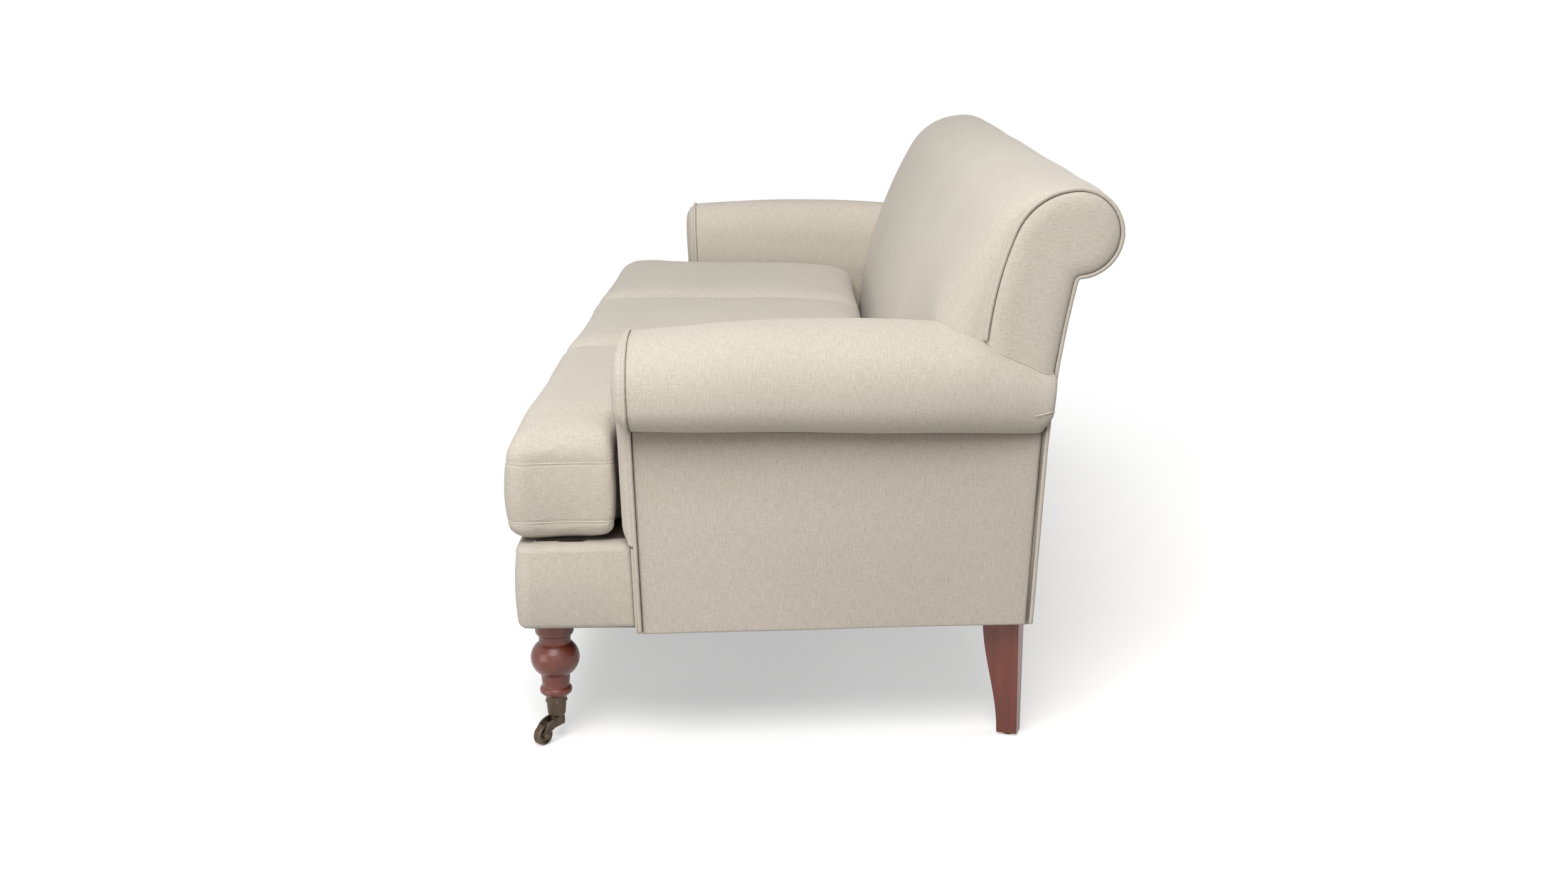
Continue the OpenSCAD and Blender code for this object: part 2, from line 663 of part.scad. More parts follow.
deck_front_y = front_y + border_setback + cap_w;
module seat_deck() {
  ym = face_at(deck_z) - soft_gap;
  u = border_u - cap_w - fit_gap;
  y0 = deck_front_y + fit_gap;
  right = [[arm_x(u, y0), y0], [arm_x(u, ym), ym],
           [arm_x(-soft_gap, ym), ym],
           [arm_x(-soft_gap, seat_rear_y), seat_rear_y]];
  color(LINEN) plan_slab(concat(right, [for (p = reversed(right)) [-p[0], p[1]]]),
                         rail_top_z + jute_t, deck_z);
}

module front_border() {
  levels = [[0, hem_r], [0.012, hem_r / 2], [0.04, 0], [0.5, -border_swell], [0.9, 0],
            [0.97, border_swell], [1, border_round]];
  yf = front_y + border_setback;
  rings = [for (l = levels)
    let (z = base_z + l[0] * border_h, y = face_at(z) - strip_t, d = l[1])
    let (xf = arm_x(border_u - d, yf + border_r), xr = arm_x(border_u - d, y))
    let (right = concat(
      [[xr, y], [mix(xr, xf, 1 / 2), mix(y, yf + border_r, 1 / 2)]],
      [for (a = [0 : 18 : 90])
        [xf - border_r + border_r * cos(a), yf + border_r + (d - border_r) * sin(a)]]))
    [for (p = concat([for (q = right) [-q[0], q[1]]], reversed(right))) [p[0], p[1], z]]];
  color(LINEN) difference() {
    stack(rings, [0, rail_back_y, base_z], [0, rail_back_y, deck_z]);
    translate([0, 0, base_z - overrun]) linear_extrude(inner_foot_z - base_z + overrun)
      polygon([for (c = [[-1, rail_front_y - fit_gap], [1, rail_front_y - fit_gap],
                         [1, face_y + overrun], [-1, face_y + overrun]])
        [c[0] * arm_x(side_u2 + fit_gap, c[1]), c[1]]]);
    translate([0, 0, base_z - overrun]) linear_extrude(border_h + 2 * overrun)
      polygon([for (c = [[-1, deck_front_y], [1, deck_front_y], [1, face_y + overrun],
                         [-1, face_y + overrun]])
        [c[0] * arm_x(border_u - cap_w, c[1]), c[1]]]);
  }
}

// arms; the solid that cuts the covers beside an arm runs on past the outside back
past_rear_share = 1.013;
module arm_ring_solid(foot_z, extra) {
  rings = [for (s = concat([0], arm_shares, [past_rear_share]))
    let (o = arm_outline(foot_z, s), closed = concat(o, [[arm_t, foot_z]]))
    [for (p = reversed(inset(reversed(closed), -extra))) arm_point(p, s)]];
  stack(rings, arm_point([arm_t / 2, roll_z], 0),
        arm_point([arm_t / 2, roll_z], past_rear_share));
}

module arm_pad() {
  length = arm_rear(roll_z) - face_at(roll_z);
  stations = concat([[0, crease], [crease / length, 0]], [for (s = arm_shares) [s, 0]]);
  rings = [for (st = stations)
    let (o = concat(arm_outline(inner_foot_z, st[0]),
                    [[arm_pad_t, roll_low_z(st[0])], [arm_pad_t, inner_foot_z]]))
    [for (p = reversed(inset(reversed(o), st[1]))) arm_point(p, st[0])]];
  eye = [arm_pad_t * 0.8, roll_z + roll_h / 8];
  color(LINEN) difference() {
    stack(rings, arm_point(eye, 0), arm_point(eye, 1));
    scroll_board();
    across(0, post_x) polygon(concat(
      [[rear_y_max, timber_z]],
      [[support_y(back_pad_t, back_foot_z), timber_z]],
      [for (i = [0 : front_steps - 1])
        let (p = support_curve(back_pad_t, back_foot_z)[i]) if (p[1] < arm_h + 2 * overrun) p],
      [[rear_y_max, arm_h + 2 * overrun]]));
  }
}

module arm_facing() {
  base = reversed(concat(arm_outline(deck_z, 0), [[arm_t, deck_z]]));
  steps = concat([[seat_of_welt, 0], [seat_of_welt, 0.2]],
                 [for (f = facing_shares) [f[0] * facing_run, f[1]]]);
  rings = [for (st = steps)
    [for (p = inset(base, st[0]))
      let (q = arm_point(p, 0)) [q[0], q[1] - st[1] * facing_crown, q[2]]]];
  mid = arm_point([arm_t / 2, mix(deck_z, roll_z, 0.8)], 0);
  color(LINEN) {
    stack(rings, mid, mid - [0, facing_crown, 0]);
    intersection() {
      arm_board(side_u2 + fit_gap, arm_t - seat_of_welt, face_at(deck_z) - 2 * strip_t, face_y + overrun,
                base_z, deck_z);
      across(0, 2 * arm_in_x)
        polygon([[face_at(base_z) - strip_t, base_z], [face_at(base_z), base_z],
                 [face_at(deck_z), deck_z], [face_at(deck_z) - strip_t, deck_z]]);
    }
  }
}

module outside_arm() {
  y0 = face_at(base_z) + seat_of_welt;
  color(LINEN) intersection() {
    arm_board(post_u, arm_t, face_at(roll_z) - overrun, foot_y + overrun, base_z, roll_low_z(0));
    across(0, 2 * arm_in_x)
      polygon(concat([[y0, base_z]],
        [for (z = [base_z, flare_z, mix(flare_z, roll_low_z(1), 1 / 2)]) [arm_rear(z), z]],
        [[arm_rear(roll_low_z(1)), roll_low_z(1) - fit_gap],
         [face_at(roll_z) + seat_of_welt, roll_low_z(0) - fit_gap]]));
  }
}

module arm_welt() {
  o = arm_outline(deck_z + 2 * welt_d, 0);
  path = [for (p = concat(o, [[arm_t, mix(base_z, roll_z, 1 / 2)], [arm_t, base_z + welt_d / 2]]))
    arm_point(p, 0)];
  color(LINEN) cord(path, welt_d / 2, 8, [0, cos(face_lean), sin(face_lean)]);
}

// back
module back_pad() {
  xe = back_end_x;
  half = concat([[xe, 0, crease], [xe - crease, 0, 0]],
    [for (i = [1 : len(back_shares) - 1]) let (t = back_shares[i])
      [xe - crease - t * bulge_w, sqrt(1 - pow(1 - t, 2)), 0]],
    [[xe / 2, 1, 0], [0, 1, 0]]);
  stations = concat(half, [for (i = [len(half) - 2 : -1 : 0]) [-half[i][0], half[i][1], half[i][2]]]);
  full = full_curve(back_foot_z);
  inner = support_curve(back_pad_t, back_foot_z);
  rings = [for (st = stations)
    let (edge = end_curve(st[2], back_foot_z))
    [for (p = concat([for (i = [0 : len(full) - 1]) mix(edge[i], full[i], st[1])], reversed(inner)))
      [st[0], p[0], p[1]]]];
  color(LINEN) difference() {
    shell_stack(rings);
    both_sides() arm_ring_solid(base_z, soft_gap);
  }
}

function side_rear_zs(foot_z) =
  [for (t = [0, 0.15, 0.4, 0.7, 1]) mix(roll_c[1] - back_roll_r, foot_z, t)];
function side_outline(foot_z) =
  concat(end_curve(0, foot_z), [for (z = side_rear_zs(foot_z)) [rear_at(z), z]]);

module back_side() {
  foot_z = roll_z + 0.3 * roll_h;
  o = reversed(side_outline(foot_z));
  core = reversed(concat(support_curve(back_pad_t + soft_gap, foot_z),
    [for (z = side_rear_zs(foot_z)) [skin_at(z) - 2 * soft_gap, z]]));
  steps = concat([[seat_of_welt, 0], [seat_of_welt, 0.3]],
                 [for (f = end_shares) [f[0] * end_run, f[1]]]);
  rings = concat(
    [for (x = [post_x, back_end_x]) [for (p = core) [x, p[0], p[1]]]],
    [for (st = steps) [for (p = inset_corners(o, st[0])) [back_end_x + st[1] * end_crown, p[0], p[1]]]]);
  y = mix(end_curve(0, foot_z)[3][0], rear_at(roll_c[1] - back_roll_r), 0.6);
  z = roll_c[1] - back_roll_r * 1.2;
  color(LINEN) difference() {
    stack(rings, [post_x, y, z], [back_end_x + end_crown, y, z]);
    arm_ring_solid(base_z, soft_gap);
  }
}

module back_welt() {
  foot_z = roll_z + roll_h * 0.86;
  o = side_outline(foot_z);
  rear = [for (t = [0.15, 0.3, 0.45, 0.7, 1])
    let (z = mix(foot_z, base_z + welt_d / 2, t)) [rear_at(z), z]];
  path = [for (p = concat(o, rear)) [back_end_x, p[0], p[1]]];
  color(LINEN) cord(path, welt_d / 2, 8, [1, 0, 0]);
}

module outside_back() {
  zs = concat([base_z], flare_zs);
  color(LINEN) across(-back_end_x + seat_of_welt, back_end_x - seat_of_welt)
    polygon(concat([for (z = zs) [rear_at(z), z]], [for (z = reversed(zs)) [skin_at(z), z]]));
}

module dust_cover() {
  y1 = foot_y - skin_t;
  right = [[arm_x(side_u2, rail_front_y), rail_front_y], [arm_x(side_u2, face_y), face_y],
           [arm_x(post_u, face_y + timber_gap), face_y + timber_gap], [arm_x(post_u, y1), y1]];
  color(BLACK_CLOTH) difference() {
    plan_slab(concat(right, [for (p = reversed(right)) [-p[0], p[1]]]), base_z, timber_z);
    both_sides() {
      bolt_hole(leg_x, leg_y);
      bolt_hole(rear_leg_x, rear_leg_y);
    }
  }
}

// legs
module bolt_hole(x, y) {
  translate([x, y, base_z - bolt_down]) cylinder(r = bolt_r + run_gap, h = bolt_down + bolt_up, $fn = 32);
}

module bolts() {
  color(STEEL) both_sides() for (p = [[leg_x, leg_y], [rear_leg_x, rear_leg_y]])
    translate([p[0], p[1], base_z - bolt_down]) cylinder(r = bolt_r, h = bolt_down + bolt_up, $fn = 32);
}

// profile of the turned leg, with heights as shares of the wood above the cup's rim
leg_low_z = cup_z + cup_h;
leg_run = base_z - leg_low_z;
flange_r = 0.79 * bulb_r;
waist_r = 0.65 * bulb_r;
neck_r = 0.6 * bulb_r;
neck_low_r = 0.555 * bulb_r;
ring_r = 0.665 * bulb_r;
bulb_share = 0.509;
bulb_h_share = 0.27;
flange_share = 0.19;
module front_leg() {
  tip_r = cup_bottom_r - cup_wall - run_gap;
  rim_r = cup_top_r - cup_wall - run_gap;
  zb = leg_low_z + bulb_share * leg_run;
  hb = bulb_h_share * leg_run;
  a0 = -acos(neck_r / bulb_r);
  a1 = acos(waist_r / bulb_r);
  ring_z = leg_low_z + 0.082 * leg_run;
  ring_h = 0.062 * leg_run;
  flange_z = base_z - flange_share * leg_run;
  profile = concat(
    [[0, cup_z + cup_floor], [tip_r, cup_z + cup_floor], [rim_r, leg_low_z],
     [rim_r + rim_step, leg_low_z]],
    [for (a = [-60 : 20 : 60]) [ring_r - ring_h + ring_h * cos(a), ring_z + ring_h * sin(a)]],
    [[neck_low_r, ring_z + ring_h * 1.15]],
    [for (t = [0 : 1 / 12 : 1]) let (a = mix(a0, a1, t)) [bulb_r * cos(a), zb + hb * sin(a)]],
    [[waist_r, flange_z - 0.04 * leg_run]],
    [for (a = [-80 : 20 : 0])
      [waist_r + (flange_r - waist_r) * cos(a), flange_z + 0.06 * leg_run * (1 + sin(a))]],
    [[flange_r, base_z], [0, base_z]]);
  color(STAINED_WOOD) difference() {
    translate([leg_x, leg_y, 0]) rotate_extrude($fn = 64) polygon(profile);
    bolt_hole(leg_x, leg_y);
    translate([leg_x, leg_y, cup_z])
      cylinder(r = pin_r + pin_head[0] + pocket_gap, h = cup_floor + pin_up + pocket_gap, $fn = 32);
    screw_holes() cylinder(r = screw_r + run_gap, h = screw_l + overrun, $fn = 24);
  }
}

module screw_holes() {
  z = cup_z + screw_share * cup_h;
  for (a = [-75, 15, 105, 195])
    translate([leg_x, leg_y, z]) rotate([0, 90, a]) translate([0, 0, cup_bottom_r - screw_in])
      children();
}

module caster_cup() {
  color(BRONZE) difference() {
    translate([leg_x, leg_y, 0]) rotate_extrude($fn = 64)
      polygon([[pin_r + run_gap, cup_z], [cup_bottom_r - cup_edge[0], cup_z],
               [cup_bottom_r, cup_z + cup_edge[1]],
               [cup_top_r, cup_z + cup_h], [cup_top_r - cup_wall, cup_z + cup_h],
               [cup_bottom_r - cup_wall, cup_z + cup_floor], [pin_r + run_gap, cup_z + cup_floor]]);
    screw_holes() cylinder(r = screw_r + run_gap, h = screw_l + overrun, $fn = 24);
  }
}

module cup_screws() {
  l = mix(cup_bottom_r, cup_top_r, screw_share) - cup_bottom_r + screw_in + screw_head[0];
  color(BRONZE) both_sides() screw_holes() {
    cylinder(r = screw_r, h = l, $fn = 24);
    translate([0, 0, l])
      cylinder(r1 = screw_r * 1.9, r2 = screw_r * 1.2, h = screw_head[1], $fn = 24);
  }
}

module rear_leg() {
  lift = base_z - glide_h;
  steps = 9;
  color(STAINED_WOOD) difference() {
    translate([rear_leg_x, rear_leg_y, 0]) rotate([0, 0, rear_leg_turn]) translate([0, rear_leg_d / 2, 0])
      intersection() {
        rotate([90, 0, 90]) translate([0, 0, -rear_leg_t]) linear_extrude(2 * rear_leg_t)
          polygon(concat([[0, glide_h], [0, base_z]],
            [for (t = [0 : 1 / steps : 1])
              [-mix(rear_leg_d, foot_d, (1 - cos(180 * t)) / 2), base_z - t * lift]]));
        rotate([90, 0, 0]) translate([0, 0, -rear_leg_d]) linear_extrude(3 * rear_leg_d)
          polygon([[-foot_t / 2, glide_h], [foot_t / 2, glide_h], [rear_leg_t / 2, base_z],
                   [-rear_leg_t / 2, base_z]]);
      }
    bolt_hole(rear_leg_x, rear_leg_y);
  }
}

module rear_glides() {
  color(BRONZE) both_sides() translate([rear_leg_x, rear_leg_y, 0]) rotate([0, 0, rear_leg_turn])
    translate([0, rear_leg_d / 2 - foot_d / 2, 0])
      cylinder(r = glide_r, h = glide_h, $fn = 48);
}

// a caster, drawn at the origin with its trail along +X
fork_in = wheel_w / 2 + fork_side_gap;
fork_out = fork_in + fork_plate_t;
hub_z = cup_z - hub_h;
module place_caster() {
  translate([leg_x, leg_y, 0]) rotate([0, 0, fork_angle]) children();
}

// points on a quarter ellipse of the goose neck
function neck_arc(rx, rz, a0, a1, n) =
  [for (i = [0 : n]) let (a = mix(a0, a1, i / n)) [neck_x + rx * cos(a), axle_z + rz * sin(a)]];

module fork_plate() {
  difference() {
    rotate([90, 0, 0]) linear_extrude(fork_plate_t) polygon(concat(
      [[-cheek_back, hub_z], [-cheek_back, cup_z - fork_gap]],
      neck_arc(trail + eye_r - neck_x, cup_z - fork_gap - axle_z, 90, 12, 7),
      arc([trail, axle_z], eye_r, 0, -180, 9),
      neck_arc(trail - eye_r - neck_x, neck_in, 12, 80, 4)));
    translate([trail, overrun, axle_z]) rotate([90, 0, 0]) cylinder(r = axle_r, h = 2 * overrun, $fn = 32);
  }
}

module caster_fork() {
  color(BRONZE) place_caster() {
    translate([0, -fork_in, 0]) fork_plate();
    translate([0, fork_out, 0]) fork_plate();
    intersection() {
      translate([0, 0, hub_z]) cylinder(r = fork_out + hub_lip, h = hub_h - fork_gap, $fn = 48);
      box([-cheek_back, -fork_out, hub_z + hub_up / 2],
          [hub_r + hub_up, fork_out, cup_z - fork_gap]);
    }
    translate([0, 0, hub_z + hub_up])
      cylinder(r = hub_r, h = hub_h - hub_up - lift_gap, $fn = 48);
    translate([0, 0, cup_z - hub_up]) cylinder(r = pin_r, h = hub_up + cup_floor + pin_up, $fn = 32);
    translate([0, 0, cup_z + cup_floor + lift_gap])
      cylinder(r = pin_r + pin_head[0], h = pin_head[1], $fn = 32);
  }
}

module caster_axle() {
  color(BRONZE) place_caster() translate([trail, fork_out, axle_z]) rotate([90, 0, 0]) {
    cylinder(r = axle_r, h = 2 * fork_out, $fn = 32);
    translate([0, 0, -rivet_h]) cylinder(r1 = axle_r, r2 = axle_r + rivet_h, h = rivet_h, $fn = 32);
    translate([0, 0, 2 * fork_out])
      cylinder(r1 = axle_r + rivet_h, r2 = axle_r, h = rivet_h, $fn = 32);
  }
}

// one dished side of a wheel, from its hub out to its tread
function wheel_side(r, w, side) =
  let (rims = rim_shares * r)
  [for (p = [[axle_r + boss_t, w], [axle_r + boss_t + boss_step, w - dish_d], [r - rims[2], w - dish_d],
             [r - rims[1], w - rim_in], [r - rims[0], w - rim_in], [r, w - tread_round]])
    [p[0], side * p[1]]];

module caster_wheel() {
  r = wheel_d / 2;
  w = wheel_w / 2;
  color(BRONZE) place_caster() translate([trail, 0, axle_z]) rotate([90, 0, 0])
    rotate_extrude($fn = 64) polygon(concat(
      [[axle_r + run_gap, w], [axle_r + run_gap, -w]],
      wheel_side(r, w, -1), reversed(wheel_side(r, w, 1))));
}

module left() {
  mirror([1, 0, 0]) children();
}

front_rail();
seat_rear_rail();
base_rear_rail();
left() side_rail();  // side_rail_left
side_rail();  // side_rail_right
seat_stretchers();
corner_blocks();
left() arm_post();  // arm_post_left
arm_post();  // arm_post_right
left() arm_base_rail();  // arm_base_rail_left
arm_base_rail();  // arm_base_rail_right
left() arm_top_rail();  // arm_top_rail_left
arm_top_rail();  // arm_top_rail_right
left() back_post();  // back_post_left
back_post();  // back_post_right
back_low_rail();
back_mid_rail();
back_top_rail();
back_webbing();
seat_springs();
spring_cover();
seat_deck();
front_border();
left() arm_pad();  // arm_pad_left
arm_pad();  // arm_pad_right
left() arm_facing();  // arm_facing_left
arm_facing();  // arm_facing_right
left() outside_arm();  // outside_arm_left
outside_arm();  // outside_arm_right
left() arm_welt();  // arm_welt_left
arm_welt();  // arm_welt_right
back_pad();
left() back_side();  // back_side_left
back_side();  // back_side_right
left() back_welt();  // back_welt_left
back_welt();  // back_welt_right
outside_back();
dust_cover();
color(LINEN) left() cushion_cover(end_corners);  // seat_cushion_left
color(LINEN) cushion_cover(centre_corners);  // seat_cushion_centre
color(LINEN) cushion_cover(end_corners);  // seat_cushion_right
color(FOAM) left() cushion_block(end_corners);  // cushion_core_left
color(FOAM) cushion_block(centre_corners);  // cushion_core_centre
color(FOAM) cushion_block(end_corners);  // cushion_core_right
left() front_leg();  // front_leg_left
front_leg();  // front_leg_right
left() rear_leg();  // rear_leg_left
rear_leg();  // rear_leg_right
bolts();  // leg_bolts
rear_glides();
left() caster_cup();  // caster_cup_left
caster_cup();  // caster_cup_right
cup_screws();
left() caster_fork();  // caster_fork_left
caster_fork();  // caster_fork_right
left() caster_axle();  // caster_axle_left
caster_axle();  // caster_axle_right
left() caster_wheel();  // caster_wheel_left
caster_wheel();  // caster_wheel_right
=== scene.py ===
import json
import math

import bmesh
import bpy
import numpy as np
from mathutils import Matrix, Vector, geometry, noise
from mathutils.bvhtree import BVHTree


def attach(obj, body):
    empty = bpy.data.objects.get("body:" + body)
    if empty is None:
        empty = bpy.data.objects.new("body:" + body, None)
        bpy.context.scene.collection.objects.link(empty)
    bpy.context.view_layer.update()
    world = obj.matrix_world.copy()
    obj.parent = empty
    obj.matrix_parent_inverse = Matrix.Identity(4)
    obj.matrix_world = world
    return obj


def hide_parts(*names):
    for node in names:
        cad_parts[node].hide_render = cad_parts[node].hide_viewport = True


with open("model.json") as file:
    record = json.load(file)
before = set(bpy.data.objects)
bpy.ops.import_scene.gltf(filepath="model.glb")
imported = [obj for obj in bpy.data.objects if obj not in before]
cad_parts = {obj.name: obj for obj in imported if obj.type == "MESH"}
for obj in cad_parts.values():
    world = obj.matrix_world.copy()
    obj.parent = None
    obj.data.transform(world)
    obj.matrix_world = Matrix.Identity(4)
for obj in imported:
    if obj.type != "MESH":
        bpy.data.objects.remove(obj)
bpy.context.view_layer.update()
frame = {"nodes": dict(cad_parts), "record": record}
scene = bpy.context.scene
print("frame loaded")

# camera, light and floor

studio = {
    "eye": (3.8647, -0.0187, 1.1744),  # metres, in the sofa's frame
    "pitchDown": 13.08,                # degrees below the horizon
    "yaw": -0.424,
    "lens": 42.607,                    # on a 36 mm sensor
    "floorColour": (0.80, 0.80, 0.80), # as the camera sees it
    "floorBounce": (0.36, 0.35, 0.34), # as it lights the sofa from below
    "floorGlow": 0.42,                 # seen by the camera alone
    "floorHalf": 9.0,                  # metres
    "shadowShape": (0.66, 1.2, 0),     # the floor turns white past this ellipse, 1/m
    "shadowFade": (1.0, 1.7),          # in shares of the ellipse
    "ambient": 0.26,
    "ambientColour": (1.0, 0.99, 0.975),
    "aimedAt": (0, 0, 0.45),
    "lamps": {                         # place, size in metres, power in watts, colour
        "overhead": ((0.3, -0.3, 3.4), (3.2, 2.4), 42.0, (0.98, 0.99, 1.0)),
        "keyRight": ((3.4, -0.6, 3.6), (2.2, 2.2), 126.0, (1.0, 0.99, 0.98)),
        "frontBox": ((0.2, -3.8, 1.9), (2.6, 1.8), 4.0, (1.0, 0.99, 0.97)),
        "frontLow": ((3.2, -3.2, 0.7), (2.0, 1.5), 46.0, (1.0, 0.99, 0.97)),
        "sideFill": ((4.9, 0.6, 1.3), (2.4, 1.6), 17.0, (1.0, 1.0, 1.0)),
        "rearFill": ((-0.6, 4.8, 2.4), (3.0, 2.0), 42.0, (1.0, 1.0, 1.0)),
    },
}


def aim(obj, direction):
    obj.rotation_euler = Vector(direction).to_track_quat("-Z", "Y").to_euler()


def linkPiece(name, data):
    obj = bpy.data.objects.new(name, data)
    scene.collection.objects.link(obj)
    return obj


def emptyTree(owner):
    owner.use_nodes = True
    owner.node_tree.nodes.clear()
    return owner.node_tree


def feed(node, inputs):  # an input takes a value, a socket or the first output of a node
    for key, value in inputs.items():
        source = value.outputs[0] if isinstance(value, bpy.types.Node) else value
        socket = node.inputs[key]
        if isinstance(source, bpy.types.NodeSocket):
            node.id_data.links.new(source, socket)
        else:
            socket.default_value = (*source[:3], 1) if socket.type == "RGBA" else source


def addNode(tree, kind, inputs=None, **settings):
    node = tree.nodes.new(kind)
    for key, value in settings.items():
        setattr(node, key, value)
    feed(node, inputs or {})
    return node


def buildCamera():
    data = bpy.data.cameras.new("camera")
    data.lens = studio["lens"]
    data.sensor_width = 36
    camera = linkPiece("camera", data)
    camera.location = studio["eye"]
    pitch, yaw = math.radians(studio["pitchDown"]), math.radians(studio["yaw"])
    aim(camera, (-math.cos(pitch) * math.cos(yaw), math.cos(pitch) * math.sin(yaw),
                 -math.sin(pitch)))
    scene.camera = camera


def buildLamps():
    for name, (place, size, power, colour) in studio["lamps"].items():
        data = bpy.data.lights.new(name, "AREA")
        data.shape = "RECTANGLE"
        data.size, data.size_y = size
        data.energy = power
        data.color = colour
        lamp = linkPiece(name, data)
        lamp.location = place
        aim(lamp, Vector(studio["aimedAt"]) - Vector(place))


def seenByLens(tree):  # camera, glossy and transmission rays
    path = addNode(tree, "ShaderNodeLightPath").outputs
    either = addNode(tree, "ShaderNodeMath", {0: path["Is Camera Ray"], 1: path["Is Glossy Ray"]},
                     operation="MAXIMUM")
    return addNode(tree, "ShaderNodeMath", {0: either, 1: path["Is Transmission Ray"]},
                   operation="MAXIMUM")


def buildWorld():
    scene.world = bpy.data.worlds.new("studio")
    tree = emptyTree(scene.world)
    ambient = addNode(tree, "ShaderNodeBackground", {"Color": studio["ambientColour"],
                                                     "Strength": studio["ambient"]})
    white = addNode(tree, "ShaderNodeBackground", {"Color": (1, 1, 1), "Strength": 1.0})
    blend = addNode(tree, "ShaderNodeMixShader", {0: seenByLens(tree), 1: ambient, 2: white})
    addNode(tree, "ShaderNodeOutputWorld", {"Surface": blend})


def buildFloor():
    mesh = bpy.data.meshes.new("studioFloor")
    r, low = studio["floorHalf"], -0.0004
    mesh.from_pydata([(-r, -r, low), (r, -r, low), (r, r, low), (-r, r, low)], [], [(0, 1, 2, 3)])
    material = bpy.data.materials.new("paleFloor")
    tree = emptyTree(material)
    seen = seenByLens(tree)
    tint = addNode(tree, "ShaderNodeMix", {0: seen, 6: studio["floorBounce"],
                                           7: studio["floorColour"]}, data_type="RGBA")
    paint = addNode(tree, "ShaderNodeBsdfDiffuse", {"Color": tint.outputs[2]})
    level = addNode(tree, "ShaderNodeMath", {0: seen, 1: studio["floorGlow"]},
                    operation="MULTIPLY")
    glow = addNode(tree, "ShaderNodeEmission", {"Color": (1, 1, 1), "Strength": level})
    near = addNode(tree, "ShaderNodeAddShader", {0: paint, 1: glow})
    white = addNode(tree, "ShaderNodeEmission", {"Color": (1, 1, 1), "Strength": 1.0})
    place = addNode(tree, "ShaderNodeTexCoord").outputs["Object"]
    squash = addNode(tree, "ShaderNodeVectorMath", {0: place, 1: studio["shadowShape"]},
                     operation="MULTIPLY")
    away = addNode(tree, "ShaderNodeVectorMath", {0: squash}, operation="LENGTH")
    fade = addNode(tree, "ShaderNodeMapRange", {
        "Value": away.outputs["Value"], "From Min": studio["shadowFade"][0],
        "From Max": studio["shadowFade"][1]}, interpolation_type="SMOOTHSTEP")
    outside = addNode(tree, "ShaderNodeMath", {0: fade.outputs["Result"], 1: seen},
                      operation="MULTIPLY")
    blend = addNode(tree, "ShaderNodeMixShader", {0: outside, 1: near, 2: white})
    addNode(tree, "ShaderNodeOutputMaterial", {"Surface": blend})
    mesh.materials.append(material)
    linkPiece("studioFloor", mesh)


scene.view_settings.view_transform = "Standard"
buildCamera()
buildLamps()
buildWorld()
buildFloor()
print("studio ready")

# shader groups shared by the finishes


class GroupMaker:  # wires a shader node group; inputs without a value are vectors

    def __init__(self, name, inputs, outputs=("Color",)):
        self.tree = bpy.data.node_groups.new(name, "ShaderNodeTree")
        kinds = {float: "Float", tuple: "Color", type(None): "Vector"}
        for label, value in inputs.items():
            socket = self.tree.interface.new_socket(
                label, in_out="INPUT", socket_type="NodeSocket" + kinds[type(value)])
            if value is not None:
                socket.default_value = value
        for label in outputs:
            kind = "Color" if label == "Color" else "Float"
            self.tree.interface.new_socket(label, in_out="OUTPUT", socket_type="NodeSocket" + kind)
        self.given = self.tree.nodes.new("NodeGroupInput").outputs

    def finish(self, outputs):
        addNode(self.tree, "NodeGroupOutput", outputs)
        return self.tree

    def math(self, operation, a, b=None, clamp=False):
        return addNode(self.tree, "ShaderNodeMath", {0: a} if b is None else {0: a, 1: b},
                       operation=operation, use_clamp=clamp).outputs[0]

    def scaled(self, vector, scale):
        return addNode(self.tree, "ShaderNodeVectorMath", {0: vector, 1: scale},
                       operation="MULTIPLY").outputs[0]

    def noise(self, vector, scale, detail=2.0):
        return addNode(self.tree, "ShaderNodeTexNoise", {
            "Vector": vector, "Scale": scale, "Detail": detail}).outputs["Fac"]

    def ramp(self, value, low, high):
        return addNode(self.tree, "ShaderNodeMapRange", {
            "Value": value, "From Min": low, "From Max": high}).outputs["Result"]

    def mix(self, factor, a, b, blend="MIX"):
        return addNode(self.tree, "ShaderNodeMix", {0: factor, 6: a, 7: b}, data_type="RGBA",
                       blend_type=blend).outputs[2]

    def times(self, colour, share):
        return self.mix(1.0, colour, share, "MULTIPLY")


